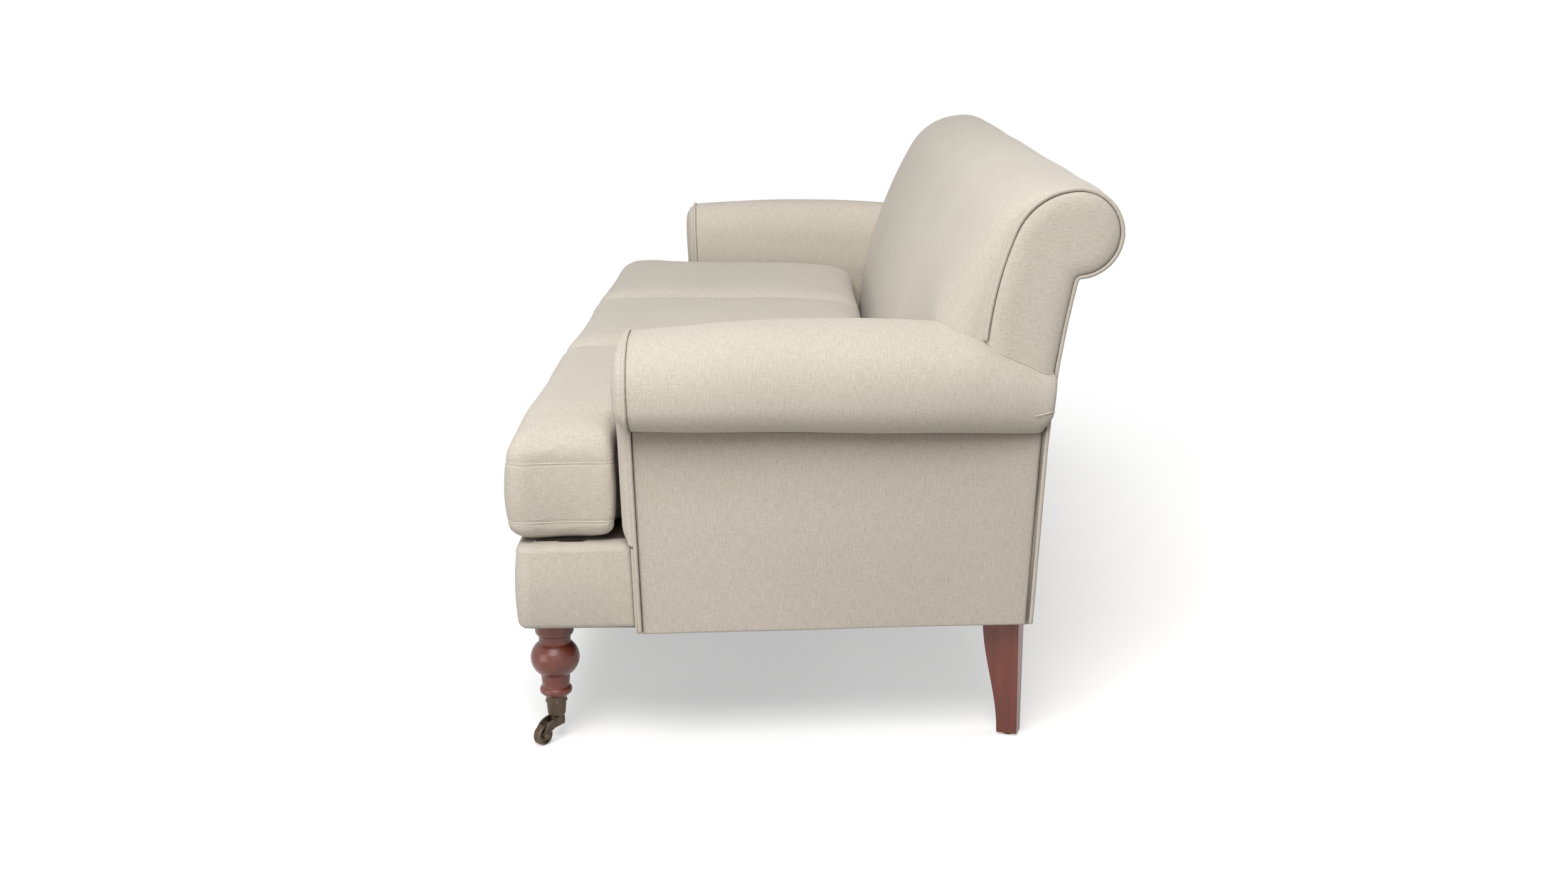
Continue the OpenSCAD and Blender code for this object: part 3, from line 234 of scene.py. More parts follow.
def buildLinenWeave():  # plain weave with slubs and flecks, in metres
    g = GroupMaker("linenWeave", {
        "Vector": None, "Thread Pitch": 0.0011, "Cloth": (0.6, 0.55, 0.45, 1),
        "Fleck": (0.25, 0.2, 0.14, 1), "Fleck Amount": 0.5, "Slub Amount": 0.5},
        ("Color", "Height", "Roughness"))
    vector, cloth = g.given["Vector"], g.given["Cloth"]
    wander = g.noise(vector, 180.0, 1.0)
    split = addNode(g.tree, "ShaderNodeSeparateXYZ", {0: vector}).outputs
    rate = g.math("DIVIDE", math.pi, g.given["Thread Pitch"])
    waves = []
    for axis in (0, 1):
        place = g.math("ADD", g.math("MULTIPLY", split[axis], rate),
                       g.math("MULTIPLY", wander, 2.2))
        waves.append(g.math("ABSOLUTE", g.math("SINE", place)))
    weave = g.math("POWER", g.math("MULTIPLY", waves[0], waves[1]), 0.5)
    weft = g.noise(g.scaled(vector, (55.0, 620.0, 1.0)), 1.0)
    warp = g.noise(g.scaled(vector, (700.0, 70.0, 1.0)), 1.0)
    slub = g.math("ADD", g.math("MULTIPLY", g.ramp(weft, 0.32, 0.68), 0.6),
                  g.math("MULTIPLY", g.ramp(warp, 0.32, 0.68), 0.4))
    fleck = g.ramp(g.noise(g.scaled(vector, (240.0, 760.0, 1.0)), 1.0, 1.0), 0.645, 0.72)
    speck = g.ramp(g.noise(g.scaled(vector, (620.0, 820.0, 1.0)), 1.0, 0.0), 0.70, 0.77)
    toned = g.mix(slub, g.times(cloth, (0.80, 0.785, 0.76)), g.times(cloth, (1.07, 1.07, 1.07)))
    toned = g.mix(g.math("SUBTRACT", 1.0, g.given["Slub Amount"]), toned, cloth)
    # painted shade: the gaps between threads are darkened toward the fleck colour
    gapShade = g.math("MULTIPLY", g.math("SUBTRACT", 1.0, weave), 0.28)
    toned = g.mix(gapShade, toned, g.given["Fleck"])
    spots = g.math("MULTIPLY", g.math("MAXIMUM", fleck, speck), g.given["Fleck Amount"])
    return g.finish({
        "Color": g.mix(spots, toned, g.given["Fleck"]),
        "Height": g.math("ADD", weave, g.math("MULTIPLY", slub, 0.5)),
        "Roughness": g.math("ADD", 0.84, g.math("MULTIPLY", weave, 0.12))})


def buildEdgeWear():  # edges that hands and floors rub
    g = GroupMaker("edgeWear", {"Vector": None, "Radius": 0.001, "Amount": 1.0, "Grit": 300.0},
                   ("Mask",))
    bevel = addNode(g.tree, "ShaderNodeBevel", {"Radius": g.given["Radius"]}, samples=4)
    shape = addNode(g.tree, "ShaderNodeNewGeometry")
    dot = addNode(g.tree, "ShaderNodeVectorMath", {0: bevel, 1: shape.outputs["Normal"]},
                  operation="DOT_PRODUCT")
    edge = g.math("MULTIPLY", g.math("SUBTRACT", 1.0, dot.outputs["Value"]), 9.0, clamp=True)
    rough = g.ramp(g.noise(g.given["Vector"], g.given["Grit"]), 0.35, 0.62)
    return g.finish({"Mask": g.math("MULTIPLY", g.math("MULTIPLY", edge, rough),
                                    g.given["Amount"])})


def buildWoodGrain():  # long straight grain with pores, along Z
    g = GroupMaker("woodGrain", {
        "Vector": None, "Wood": (0.2, 0.07, 0.04, 1), "Dark": (0.08, 0.025, 0.015, 1),
        "Grain Amount": 0.6}, ("Color", "Height", "Roughness"))
    vector = g.given["Vector"]
    bend = g.noise(vector, 9.0)
    broad = g.noise(g.scaled(vector, (90.0, 90.0, 7.0)), 1.0, 3.0)
    broad = g.math("ADD", broad, g.math("MULTIPLY", g.math("SUBTRACT", bend, 0.5), 0.5))
    pores = g.ramp(g.noise(g.scaled(vector, (900.0, 900.0, 28.0)), 1.0), 0.60, 0.72)
    grain = g.math("ADD", g.math("MULTIPLY", g.ramp(broad, 0.35, 0.68), 0.7),
                   g.math("MULTIPLY", pores, 0.35))
    grain = g.math("MULTIPLY", grain, g.given["Grain Amount"], clamp=True)
    return g.finish({
        "Color": g.mix(grain, g.given["Wood"], g.given["Dark"]),
        "Height": g.math("SUBTRACT", 1.0, pores),
        "Roughness": g.math("ADD", 0.36, g.math("MULTIPLY", grain, 0.16))})


def buildHandledTone():  # slow change of tone from light and dust
    g = GroupMaker("handledTone", {"Vector": None, "Color": (1, 1, 1, 1), "Scale": 4.0,
                                   "Amount": 0.06})
    cloud = g.noise(g.given["Vector"], g.given["Scale"], 3.0)
    level = g.math("MULTIPLY", g.ramp(cloud, 0.3, 0.7), g.given["Amount"])
    dark = g.times(g.given["Color"], (0.55, 0.52, 0.48))
    return g.finish({"Color": g.mix(level, g.given["Color"], dark)})


def buildPaintedCreviceShade():  # painted shade: darker and warmer where cloth meets cloth, from ambient occlusion
    g = GroupMaker("paintedCreviceShade", {"Color": (1, 1, 1, 1), "Shade Reach": 0.03, "Start": 0.42,
                                   "Width": 0.53, "Depth": 0.8})
    openness = addNode(g.tree, "ShaderNodeAmbientOcclusion", {"Distance": g.given["Shade Reach"]},
                       samples=6)
    shade = g.math("SUBTRACT", 1.0, openness.outputs["AO"])
    shut = g.math("DIVIDE", g.math("SUBTRACT", shade, g.given["Start"]), g.given["Width"],
                  clamp=True)
    level = g.math("MULTIPLY", shut, g.given["Depth"], clamp=True)
    # the warm dark colour of the painted shade
    dark = g.times(g.given["Color"], (0.22, 0.17, 0.11))
    return g.finish({"Color": g.mix(level, g.given["Color"], dark)})


groups = {
    "paintedCreviceShade": buildPaintedCreviceShade(),
    "linenWeave": buildLinenWeave(),
    "edgeWear": buildEdgeWear(),
    "woodGrain": buildWoodGrain(),
    "handledTone": buildHandledTone(),
}
print("shader groups ready")

# finishes; the cloth ones carry painted crevice shade

plainCloth = {
    "fleckAmount": 0.5, "slub": 0.4, "pitch": 0.0012, "sheen": 0.1, "bump": 0.3, "reach": 0.02,
    "crevice": 0.3, "creviceStart": 0.42, "creviceWidth": 0.53,
}
finishes = {
    "linen": {**plainCloth, "cloth": (0.665, 0.617, 0.545), "fleck": (0.235, 0.185, 0.125),
              "fleckAmount": 0.55, "slub": 0.85, "pitch": 0.00105, "sheen": 0.18, "bump": 0.35,
              "reach": 0.019, "crevice": 0.9},
    "threadLinen": {**plainCloth, "cloth": (0.72, 0.675, 0.61), "fleck": (0.40, 0.34, 0.26),
                    "fleckAmount": 0.2, "pitch": 0.0006, "sheen": 0.2, "reach": 0.01,
                    "crevice": 0.4},
    "mahogany": {"wood": (0.165, 0.034, 0.018), "dark": (0.058, 0.012, 0.007), "grain": 0.55,
                 "coat": 0.25, "coatRoughness": 0.26, "wear": 0.18,
                 "worn": (0.36, 0.14, 0.085)},
    "timber": {"wood": (0.56, 0.38, 0.20), "dark": (0.34, 0.20, 0.09), "grain": 0.5,
               "coat": 0.0, "coatRoughness": 0.4, "wear": 0.0, "worn": (0.6, 0.45, 0.28)},
    "bronze": {"metal": (0.115, 0.082, 0.058), "worn": (0.50, 0.41, 0.31), "roughness": 0.42,
               "wear": 0.8},
    "springSteel": {"metal": (0.36, 0.36, 0.37), "worn": (0.6, 0.6, 0.6), "roughness": 0.35,
                    "wear": 0.3},
    "jute": {**plainCloth, "cloth": (0.33, 0.23, 0.12), "fleck": (0.14, 0.09, 0.045),
             "slub": 1.0, "pitch": 0.0022, "bump": 0.6, "crevice": 0.5},
    "dustCloth": {**plainCloth, "cloth": (0.012, 0.012, 0.013), "fleck": (0.03, 0.03, 0.03),
                  "fleckAmount": 0.3, "sheen": 0.05},
    "foam": {**plainCloth, "cloth": (0.80, 0.72, 0.48), "fleck": (0.55, 0.47, 0.28),
             "slub": 0.2, "pitch": 0.0016, "sheen": 0.0, "bump": 0.4},
}


def startMaterial(name):
    material = bpy.data.materials.new(name)
    tree = emptyTree(material)
    shader = addNode(tree, "ShaderNodeBsdfPrincipled")
    addNode(tree, "ShaderNodeOutputMaterial", {"Surface": shader})
    return material, tree, shader


def placeGroup(tree, group, inputs):
    return addNode(tree, "ShaderNodeGroup", inputs, node_tree=groups[group]).outputs


def bumped(tree, height, strength, distance):
    return addNode(tree, "ShaderNodeBump", {"Height": height, "Strength": strength,
                                            "Distance": distance})


def wornEdges(tree, place, colour, f, radius, grit):
    wear = placeGroup(tree, "edgeWear", {"Vector": place, "Radius": radius, "Amount": f["wear"],
                                         "Grit": grit})
    return addNode(tree, "ShaderNodeMix", {0: wear["Mask"], 6: colour, 7: f["worn"]},
                   data_type="RGBA").outputs[2]


def clothMaterial(name, f, onUv=True, turn=0.0):
    material, tree, shader = startMaterial(name)
    coordinate = addNode(tree, "ShaderNodeTexCoord").outputs
    source = coordinate["UV" if onUv else "Object"]
    if turn:
        source = addNode(tree, "ShaderNodeMapping", {"Vector": source,
                                                     "Rotation": (0, 0, math.radians(turn))})
    weave = placeGroup(tree, "linenWeave", {
        "Vector": source, "Thread Pitch": f["pitch"], "Cloth": f["cloth"], "Fleck": f["fleck"],
        "Fleck Amount": f["fleckAmount"], "Slub Amount": f["slub"]})
    handled = placeGroup(tree, "handledTone", {
        "Vector": coordinate["Object"], "Color": weave["Color"], "Scale": 3.5, "Amount": 0.10})
    # painted shade: ambient occlusion darkens the cloth's colour in creases and between parts
    crevice = placeGroup(tree, "paintedCreviceShade", {
        "Color": handled["Color"], "Shade Reach": f["reach"], "Start": f["creviceStart"],
        "Width": f["creviceWidth"], "Depth": f["crevice"]})
    feed(shader, {
        "Base Color": crevice["Color"], "Roughness": weave["Roughness"],
        "Sheen Weight": f["sheen"], "Sheen Roughness": 0.5, "Specular IOR Level": 0.25,
        "Normal": bumped(tree, weave["Height"], f["bump"], 0.0005)})
    return material


def woodMaterial(name, f):
    material, tree, shader = startMaterial(name)
    place = addNode(tree, "ShaderNodeTexCoord").outputs["Object"]
    grain = placeGroup(tree, "woodGrain", {
        "Vector": place, "Wood": f["wood"], "Dark": f["dark"], "Grain Amount": f["grain"]})
    handled = placeGroup(tree, "handledTone", {
        "Vector": place, "Color": grain["Color"], "Scale": 18.0, "Amount": 0.25})
    feed(shader, {
        "Base Color": wornEdges(tree, place, handled["Color"], f, 0.0016, 240.0),
        "Roughness": grain["Roughness"], "Coat Weight": f["coat"],
        "Coat Roughness": f["coatRoughness"],
        "Normal": bumped(tree, grain["Height"], 0.12, 0.0002)})
    return material


def metalMaterial(name, f):
    material, tree, shader = startMaterial(name)
    place = addNode(tree, "ShaderNodeTexCoord").outputs["Object"]
    tone = placeGroup(tree, "handledTone", {
        "Vector": place, "Color": f["metal"], "Scale": 90.0, "Amount": 0.75})
    pits = addNode(tree, "ShaderNodeTexNoise", {"Vector": place, "Scale": 650.0, "Detail": 2.0})
    rough = addNode(tree, "ShaderNodeMapRange", {
        "Value": pits.outputs["Fac"], "From Min": 0.3, "From Max": 0.7,
        "To Min": f["roughness"] - 0.08, "To Max": f["roughness"] + 0.16})
    feed(shader, {
        "Base Color": wornEdges(tree, place, tone["Color"], f, 0.0011, 420.0), "Metallic": 0.85,
        "Roughness": rough.outputs["Result"],
        "Normal": bumped(tree, pits.outputs["Fac"], 0.25, 0.0002)})
    return material


def linenLike(name, turn=0.0, **changes):
    return clothMaterial(name, {**finishes["linen"], **changes}, turn=turn)


linen = linenLike("oatmealLinen")
# painted shadow under the arm roll: a wide, strong crevice shade for the outside arm panels
underRollShadowLinen = linenLike("oatmealLinenPaintedShadowUnderRoll", reach=0.14, creviceStart=0.04, creviceWidth=0.13,
                      crevice=0.5)
biasLinen = linenLike("oatmealLinenOnBias", 45, reach=0.006, crevice=0.3)
# darker deck cloth, as real deck cloth often is, made darker still to stand for the shade in the
# gap under the cushions, with strong painted crevice shade
deckLinenPaintedShade = linenLike("deckLinenPaintedShade", cloth=(0.30, 0.26, 0.21), sheen=0.1, reach=0.14, crevice=1.0)
threadLinen = clothMaterial("linenThread", finishes["threadLinen"], onUv=False)
dustCloth = clothMaterial("blackDustCloth", finishes["dustCloth"])
nodeFinishes = {
    "stained_wood": woodMaterial("mahoganyStain", finishes["mahogany"]),
    "antique_bronze": metalMaterial("agedBronze", finishes["bronze"]),
    "frame_timber": woodMaterial("rawTimber", finishes["timber"]),
    "steel": metalMaterial("springSteel", finishes["springSteel"]),
}
for slotName, name, finish in (("jute", "juteWebbing", "jute"), ("foam", "cushionFoam", "foam"),
                               ("linen", "oatmealLinenOnSolid", "linen"),
                               ("dust_cloth", "dustClothOnSolid", "dustCloth")):
    nodeFinishes[slotName] = clothMaterial(name, finishes[finish], onUv=False)
for subpart in frame["record"]["subparts"]:
    obj = frame["nodes"].get(subpart["node"])
    if obj:
        finish = nodeFinishes[subpart["material_slot"]]
        if not obj.material_slots:
            obj.data.materials.append(finish)
        for materialSlot in obj.material_slots:
            materialSlot.material = finish
print("finishes ready")

# the sofa's form, in millimetres, as the solid model has it

form = {
    "cushionW": 608, "depth": 976, "ear": 185, "band": 96, "crown": 92, "belly": 35,
    "baseZ": 206, "border": 140, "borderSetback": 19, "armH": 696, "armT": 148,
    "rollOver": 50, "rollH": 165, "rollFall": 16, "splay": 5, "faceLean": 2.2,
    "facingCrown": 23, "backH": 913, "rollR": 74, "rake": 3, "welt": 7, "skin": 8,
    "faceGap": 1.5, "backReach": 129, "borderEnd": 117, "padT": 35, "earIn": 7,
    "flareShare": 0.373, "flareR": 1800,
}
backForm = {  # three tangent arcs from the lumbar to the roll
    "lean": 6, "shoulderR": 143, "shoulderAngle": 29.6, "lumbarR": 1036, "crest": 21,
    "endDrop": 6, "endShoulderR": 105, "endAngle": 22, "endLumbarR": 600,
}
armForm = {  # shares along the arm, or of the roll's height
    "arch": 15, "crownAt": 0.45, "slopeFrom": 0.82, "rearHeight": 0.705,
    "fadeFrom": 0.7, "rearOverhang": 0.56, "crownAcross": 0.31, "innerFoot": 0.47,
    "outerFoot": 0.32, "squareness": 0.87,
}
deckZ = form["baseZ"] + form["border"]
seamLow = deckZ + form["belly"]
seamHigh = seamLow + form["band"]
rollZ = form["armH"] - form["rollH"]
armInX = 1.5 * form["cushionW"]
frontY = -form["depth"] / 2
earY = frontY + form["ear"]
tanSplay = math.tan(math.radians(form["splay"]))
tanLean = math.tan(math.radians(form["faceLean"]))
rake = math.radians(form["rake"])
faceY = earY + form["faceGap"] + form["facingCrown"] + (seamHigh - form["baseZ"]) * tanLean
footY = form["depth"] / 2 - form["backReach"]
weltR = form["welt"] / 2
besideWelt = weltR + 0.6
crease = 0.76 * form["welt"]
postX = armInX + form["armT"] - form["skin"] - (footY - faceY) * tanSplay - 1
backEndX = postX + 10
rollC = np.array([form["depth"] / 2 - form["rollR"], form["backH"] - form["rollR"]])
flareZ = form["baseZ"] + form["flareShare"] * (form["backH"] - form["baseZ"])


def faceAt(z):
    return faceY - (z - form["baseZ"]) * tanLean


def armX(u, y):
    return armInX + u - (y - faceY) * tanSplay


def armRear(z):
    return rearAt(z) - form["skin"] - 0.4


def rollLow(s):
    return rollZ + form["rollFall"] * (0.5 - s)


def rearAt(z):
    straight = footY + (min(z, flareZ) - form["baseZ"]) * math.tan(rake)
    s = math.sin(rake) + max(z - flareZ, 0) / form["flareR"]
    return straight + form["flareR"] * (math.cos(rake) - math.sqrt(1 - s * s))


def mix(a, b, t):
    return a + (b - a) * t


def polar(centre, r, degrees):
    a = math.radians(degrees)
    return np.array([centre[0] + r * math.cos(a), centre[1] + r * math.sin(a)])


# the same path with points an even step apart, or with count of them
def spaced(path, step=None, closed=False, count=None):
    path = np.asarray(path, float)
    if closed:
        path = np.vstack([path, path[:1]])
    along = np.concatenate([[0], np.cumsum(np.linalg.norm(np.diff(path, axis=0), axis=1))])
    count = count or max(int(round(along[-1] / step)), 2)
    at = np.linspace(0, along[-1], count + 1)
    if closed:
        at = at[:-1]
    return np.stack([np.interp(at, along, path[:, k]) for k in range(path.shape[1])], axis=1)


# side outline of the back from its foot, up the front and round the roll
def backCurve(r3, r2, a2, r1, crest, footZ):
    lean = backForm["lean"]
    c2 = rollC + np.array([-crest, r3 - r2])
    c1 = c2 + (r1 - r2) * np.array([math.cos(math.radians(a2)), -math.sin(math.radians(a2))])
    knee = polar(c1, r1, 180 - lean)
    foot = np.array([knee[0] - (knee[1] - footZ) * math.tan(math.radians(lean)), footZ])
    points = [mix(foot, knee, t) for t in np.linspace(0, 1, 10)[:-1]]
    points += [polar(c1, r1, a) for a in np.linspace(180 - lean, 180 - a2, 24)]
    points += [polar(c2, r2, a) for a in np.linspace(180 - a2, 90, 18)[1:]]
    points.append(mix(points[-1], rollC + np.array([0, r3]), 0.6) if crest
                  else polar(rollC, r3, 88))
    points += [polar(rollC, r3, a) for a in np.linspace(90, 180 - 268, 40)[1:]]
    return np.array(points)


def fullCurve(footZ):
    b = backForm
    return backCurve(form["rollR"], b["shoulderR"], b["shoulderAngle"], b["lumbarR"], b["crest"],
                     footZ)


def endCurve(t, footZ):
    b = backForm
    return backCurve(form["rollR"] - b["endDrop"] - t, b["endShoulderR"] - t, b["endAngle"],
                     b["endLumbarR"] - t, 0, footZ)


def armTop(s):
    arch, crownAt, slope = armForm["arch"], armForm["crownAt"], armForm["slopeFrom"]
    if s <= slope:
        return form["armH"] - arch * ((s - crownAt) / crownAt) ** 2
    high = form["armH"] - arch * ((slope - crownAt) / crownAt) ** 2
    return mix(high, rollZ + armForm["rearHeight"] * form["rollH"], (s - slope) / (1 - slope))


# arm section as (across, up), from the foot of the inside face over the roll
def armOutline(footZ, s):
    rollH, armT = form["rollH"], form["armT"]
    k = (armTop(s) - rollZ) / rollH
    crownU = armForm["crownAcross"] * (armT + form["rollOver"])
    fade = max(s - armForm["fadeFrom"], 0) / (1 - armForm["fadeFrom"])
    over = form["rollOver"] * mix(1, armForm["rearOverhang"], fade ** 2)
    inZ, outZ = armForm["innerFoot"] * rollH, armForm["outerFoot"] * rollH
    square = armForm["squareness"]
    points = [(0, z) for z in np.linspace(footZ, rollZ, 16)]
    for a in np.radians(np.linspace(180, 90, 14)):
        points.append((crownU + crownU * math.cos(a),
                       rollZ + k * (inZ + (rollH - inZ) * math.sin(a))))
    for a in np.radians(np.linspace(90, 0, 26)[1:]):
        points.append((crownU + (armT + over - crownU) * math.cos(a) ** square,
                       rollZ + k * (outZ + (rollH - outZ) * math.sin(a) ** square)))
    for a in np.radians(np.linspace(0, -90, 14)[1:]):
        points.append((armT + over * math.cos(a), rollZ + k * outZ * (1 + math.sin(a))
                       - (rollLow(s) - rollZ) * math.sin(a)))
    return np.array(points)


def armPoint(p, s):
    y = mix(faceAt(p[1]), armRear(p[1]), s)
    return (armX(p[0], y), y, p[1])


def ahead(path, closed=True):  # unit directions along a path
    step = np.roll(path, -1, axis=0) - np.roll(path, 1, axis=0)
    if not closed:
        step[0], step[-1] = path[1] - path[0], path[-1] - path[-2]
    return step / np.linalg.norm(step, axis=1, keepdims=True)


def insetOutline(points, d):
    step = ahead(points)
    return points + d * np.stack([-step[:, 1], step[:, 0]], axis=1)


# mesh tools


def outward(mesh):
    work = bmesh.new()
    work.from_mesh(mesh)
    bmesh.ops.recalc_face_normals(work, faces=work.faces)
    work.to_mesh(mesh)
    work.free()
    mesh.shade_smooth()


# points and UVs in metres, one UV for each corner of a face
def meshPiece(name, points, faces, uvs):
    mesh = bpy.data.meshes.new(name)
    mesh.from_pydata(points, [], faces)
    layer = mesh.uv_layers.new(name="cloth")
    layer.data.foreach_set("uv", np.array(uvs, np.float32).ravel())
    outward(mesh)
    return linkPiece(name, mesh)


def loft(name, grid, side=1):  # closed rings joined one to the next, with both ends capped
    grid = np.array(grid, float) / 1000
    grid[:, :, 0] *= side
    m, n = grid.shape[:2]
    around = np.concatenate([grid, grid[:, :1]], axis=1)
    u = np.zeros(around.shape[:2])
    u[:, 1:] = np.cumsum(np.linalg.norm(np.diff(around, axis=1), axis=2), axis=1)
    v = np.zeros(around.shape[:2])
    v[1:] = np.cumsum(np.linalg.norm(np.diff(around, axis=0), axis=2), axis=0)
    points = list(map(tuple, grid.reshape(-1, 3)))
    faces, uvs = [], []
    for r in range(m - 1):
        for i in range(n):
            j = (i + 1) % n
            faces.append((r * n + i, r * n + j, (r + 1) * n + j, (r + 1) * n + i))
            uvs += [(u[r, i], v[r, i]), (u[r, i + 1], v[r, i + 1]),
                    (u[r + 1, i + 1], v[r + 1, i + 1]), (u[r + 1, i], v[r + 1, i])]
    for r in (0, m - 1):
        centre = grid[r].mean(axis=0)
        points.append(tuple(centre))
        for i in range(n):
            j = (i + 1) % n
            faces.append((r * n + i, r * n + j, len(points) - 1))
            uvs += [tuple(grid[r, i][1:]), tuple(grid[r, j][1:]), tuple(centre[1:])]
    return meshPiece(name, points, faces, uvs)


def applied(obj):  # the mesh its modifiers make, put in place of both
    obj.data = bpy.data.meshes.new_from_object(
        obj.evaluated_get(bpy.context.evaluated_depsgraph_get()))
    obj.modifiers.clear()
    obj.vertex_groups.clear()
    return obj.data


def readPoints(mesh):
    co = np.empty(len(mesh.vertices) * 3, np.float32)
    mesh.vertices.foreach_get("co", co)
    normals = np.empty(len(mesh.vertices) * 3, np.float32)
    mesh.vertex_normals.foreach_get("vector", normals)
    return co.reshape(-1, 3).astype(float), normals.reshape(-1, 3).astype(float)


def writePoints(mesh, co):
    mesh.vertices.foreach_set("co", co.astype(np.float32).ravel())
    mesh.update()


# pushes a surface in and out along its normals with smooth noise; depth and size in mm
def ripple(obj, depth, size, seed, mask=None):
    co, normals = readPoints(obj.data)
    shift = Vector((seed * 7.31, seed * 3.17, seed * 5.93))
    amount = np.array([noise.noise(Vector(p) * (1000 / size) + shift) for p in co])
    if mask is not None:
        amount *= mask(co * 1000)
    writePoints(obj.data, co + normals * (amount * depth / 1000)[:, None])


def finishPiece(obj, material, nodes=(), body="sofa"):
    obj.data.materials.clear()
    obj.data.materials.append(material)
    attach(obj, body)
    if nodes:
        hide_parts(*nodes)


# round cord along a path in millimetres, with its ends rounded off
def tube(name, path, radius, sides=10, side=1, closed=False):
    path = np.array(path, float)
    steps = ahead(path, closed)
    up = np.cross(steps[0], (0.31, 0.52, 0.79))
    rings = []
    for at, step in zip(path, steps):
        up = up - step * np.dot(up, step)
        up /= np.linalg.norm(up)
        across = np.cross(step, up)
        rings.append([at + radius * (math.cos(a) * up + math.sin(a) * across)
                      for a in np.linspace(0, 2 * math.pi, sides, endpoint=False)])
    if not closed:
        for end, sign in ((0, -1), (-1, 1)):
            ring = np.array(rings[end])
            tip = path[end] + (ring - path[end]) * 0.6 + steps[end] * radius * 0.35 * sign
            rings = [tip] + rings if end == 0 else rings + [tip]
    return loft(name, rings, side=side)


def joinInto(target, other):
    work = bmesh.new()
    work.from_mesh(target.data)
    work.from_mesh(other.data)
    work.to_mesh(target.data)
    work.free()
    bpy.data.objects.remove(other)
    target.data.shade_smooth()


def eased(t):
    t = min(max(t, 0), 1)
    return t * t * (3 - 2 * t)


# points in millimetres dropped on a piece along a direction, then lifted off it
def laidOn(obj, points, direction, lift, side):
    tree = BVHTree.FromObject(obj, bpy.context.evaluated_depsgraph_get())
    towards = Vector((direction[0] * side, direction[1], direction[2]))
    line = []
    for p in points:
        hit = tree.ray_cast(Vector((p[0] * side, p[1], p[2])) / 1000, towards)[0]
        if hit is not None:
            place = (hit - towards * lift / 1000) * 1000
            line.append((place.x * side, place.y, place.z))
    return line


def both(make):
    for sideName, side in (("right", 1), ("left", -1)):
        make(sideName, side)


# arms

armLook = {"pleatDepth": 1.5, "pleatSize": 13, "pleatReach": 16, "pleatFromZ": 380,
           "softDepth": 2.2, "softSize": 190, "softFrom": 80, "stations": 72, "frontRun": 60,
           "rearRounding": (0.8, 2.2, 5.0), "wrap": 11.0, "wrapFrom": 528,
           "facingRun": 44, "stripInU": 103.2, "joinR": 1.7, "joinFrom": 280, "joinAside": 7.5,
           "tuckR": 1.5, "tuckFrom": 352, "tuckTo": 386, "tuckZ": 558}


def wrapped(p, s):  # the roll's rear end reaches over the welt beside the outside back
    x, y, z = p
    over = (eased((x - backEndX - 1) / 6) * eased((z - armLook["wrapFrom"]) / 30)
            * eased((s - 0.976) / 0.018))
    return (x, y + armLook["wrap"] * over, z)


def buildArm(sideName, side):
    look, length = armLook, armRear(rollZ) - faceAt(rollZ)
    shares = np.concatenate([[0], np.linspace(crease, look["frontRun"], 18) / length,
                             np.linspace(look["frontRun"] / length, 0.985, look["stations"])[1:],
                             [0.992, 0.997, 1.0]])
    insets = np.zeros(len(shares))
    insets[0] = crease
    insets[-3:] = look["rearRounding"]
    foot = deckZ - 19  # just above the deck's support
    grid = []
    for s, d in zip(shares, insets):
        outline = armOutline(foot, s)
        inner = [(form["padT"], z) for z in (rollLow(s), rollZ - 20, mix(rollZ, foot, 0.5), foot)]
        ring = np.vstack([outline, inner])
        ring = insetOutline(ring[::-1], d)[::-1] if d else ring
        grid.append([wrapped(armPoint(p, s), s) for p in ring])
    pad = loft("armPad." + sideName, grid, side=side)

    def nearFront(mm):
        behind = mm[:, 1] - faceAt(mm[:, 2])
        return (np.exp(-np.maximum(behind - 2, 0) / look["pleatReach"])
                * np.clip((mm[:, 2] - look["pleatFromZ"]) / 120, 0, 1))

    def away(mm):
        return np.clip((mm[:, 1] - faceAt(mm[:, 2])) / look["softFrom"], 0, 1)

    ripple(pad, look["pleatDepth"], look["pleatSize"], 3 + side, nearFront)
    ripple(pad, look["softDepth"], look["softSize"], 11 + side, away)
    finishPiece(pad, linen, ["arm_pad_" + sideName])
    buildArmSeams(pad, sideName, side)


# the seam between arm and end panel, and the tuck at the roll's rear end
def buildArmSeams(pad, sideName, side):
    look = armLook

    def seamOn(name, points, direction, lift, step, radius):
        line = laidOn(pad, points, direction, lift, side)
        return tube(name + sideName, spaced(line, step), radius, sides=8, side=side)

    front, rear = look["joinFrom"], rearAt(630) - 4
    points = [(backEndX + 2 + look["joinAside"] * eased(min(y - front, rear + 8 - y) / 22), y, 800)
              for y in np.linspace(front + 3, rear, 28)]
    seam = seamOn("armSeam.", points, (0, 0, -1), 0.9, 5.0, look["joinR"])
    ripple(seam, 0.3, 12, 45 + side)
    first, last = look["tuckFrom"], look["tuckTo"]
    points = [(1200, y, look["tuckZ"] + 5 * eased((y - first) / 30))
              for y in np.linspace(first, last, 12)]
    joinInto(seam, seamOn("rollTuck.", points, (-1, 0, 0), 0.4, 3.0, look["tuckR"]))
    finishPiece(seam, biasLinen)


both(buildArm)


def anticlockwise(outline):
    area = np.sum(outline[:, 0] * np.roll(outline[:, 1], -1)
                  - np.roll(outline[:, 0], -1) * outline[:, 1])
    return outline if area > 0 else outline[::-1]


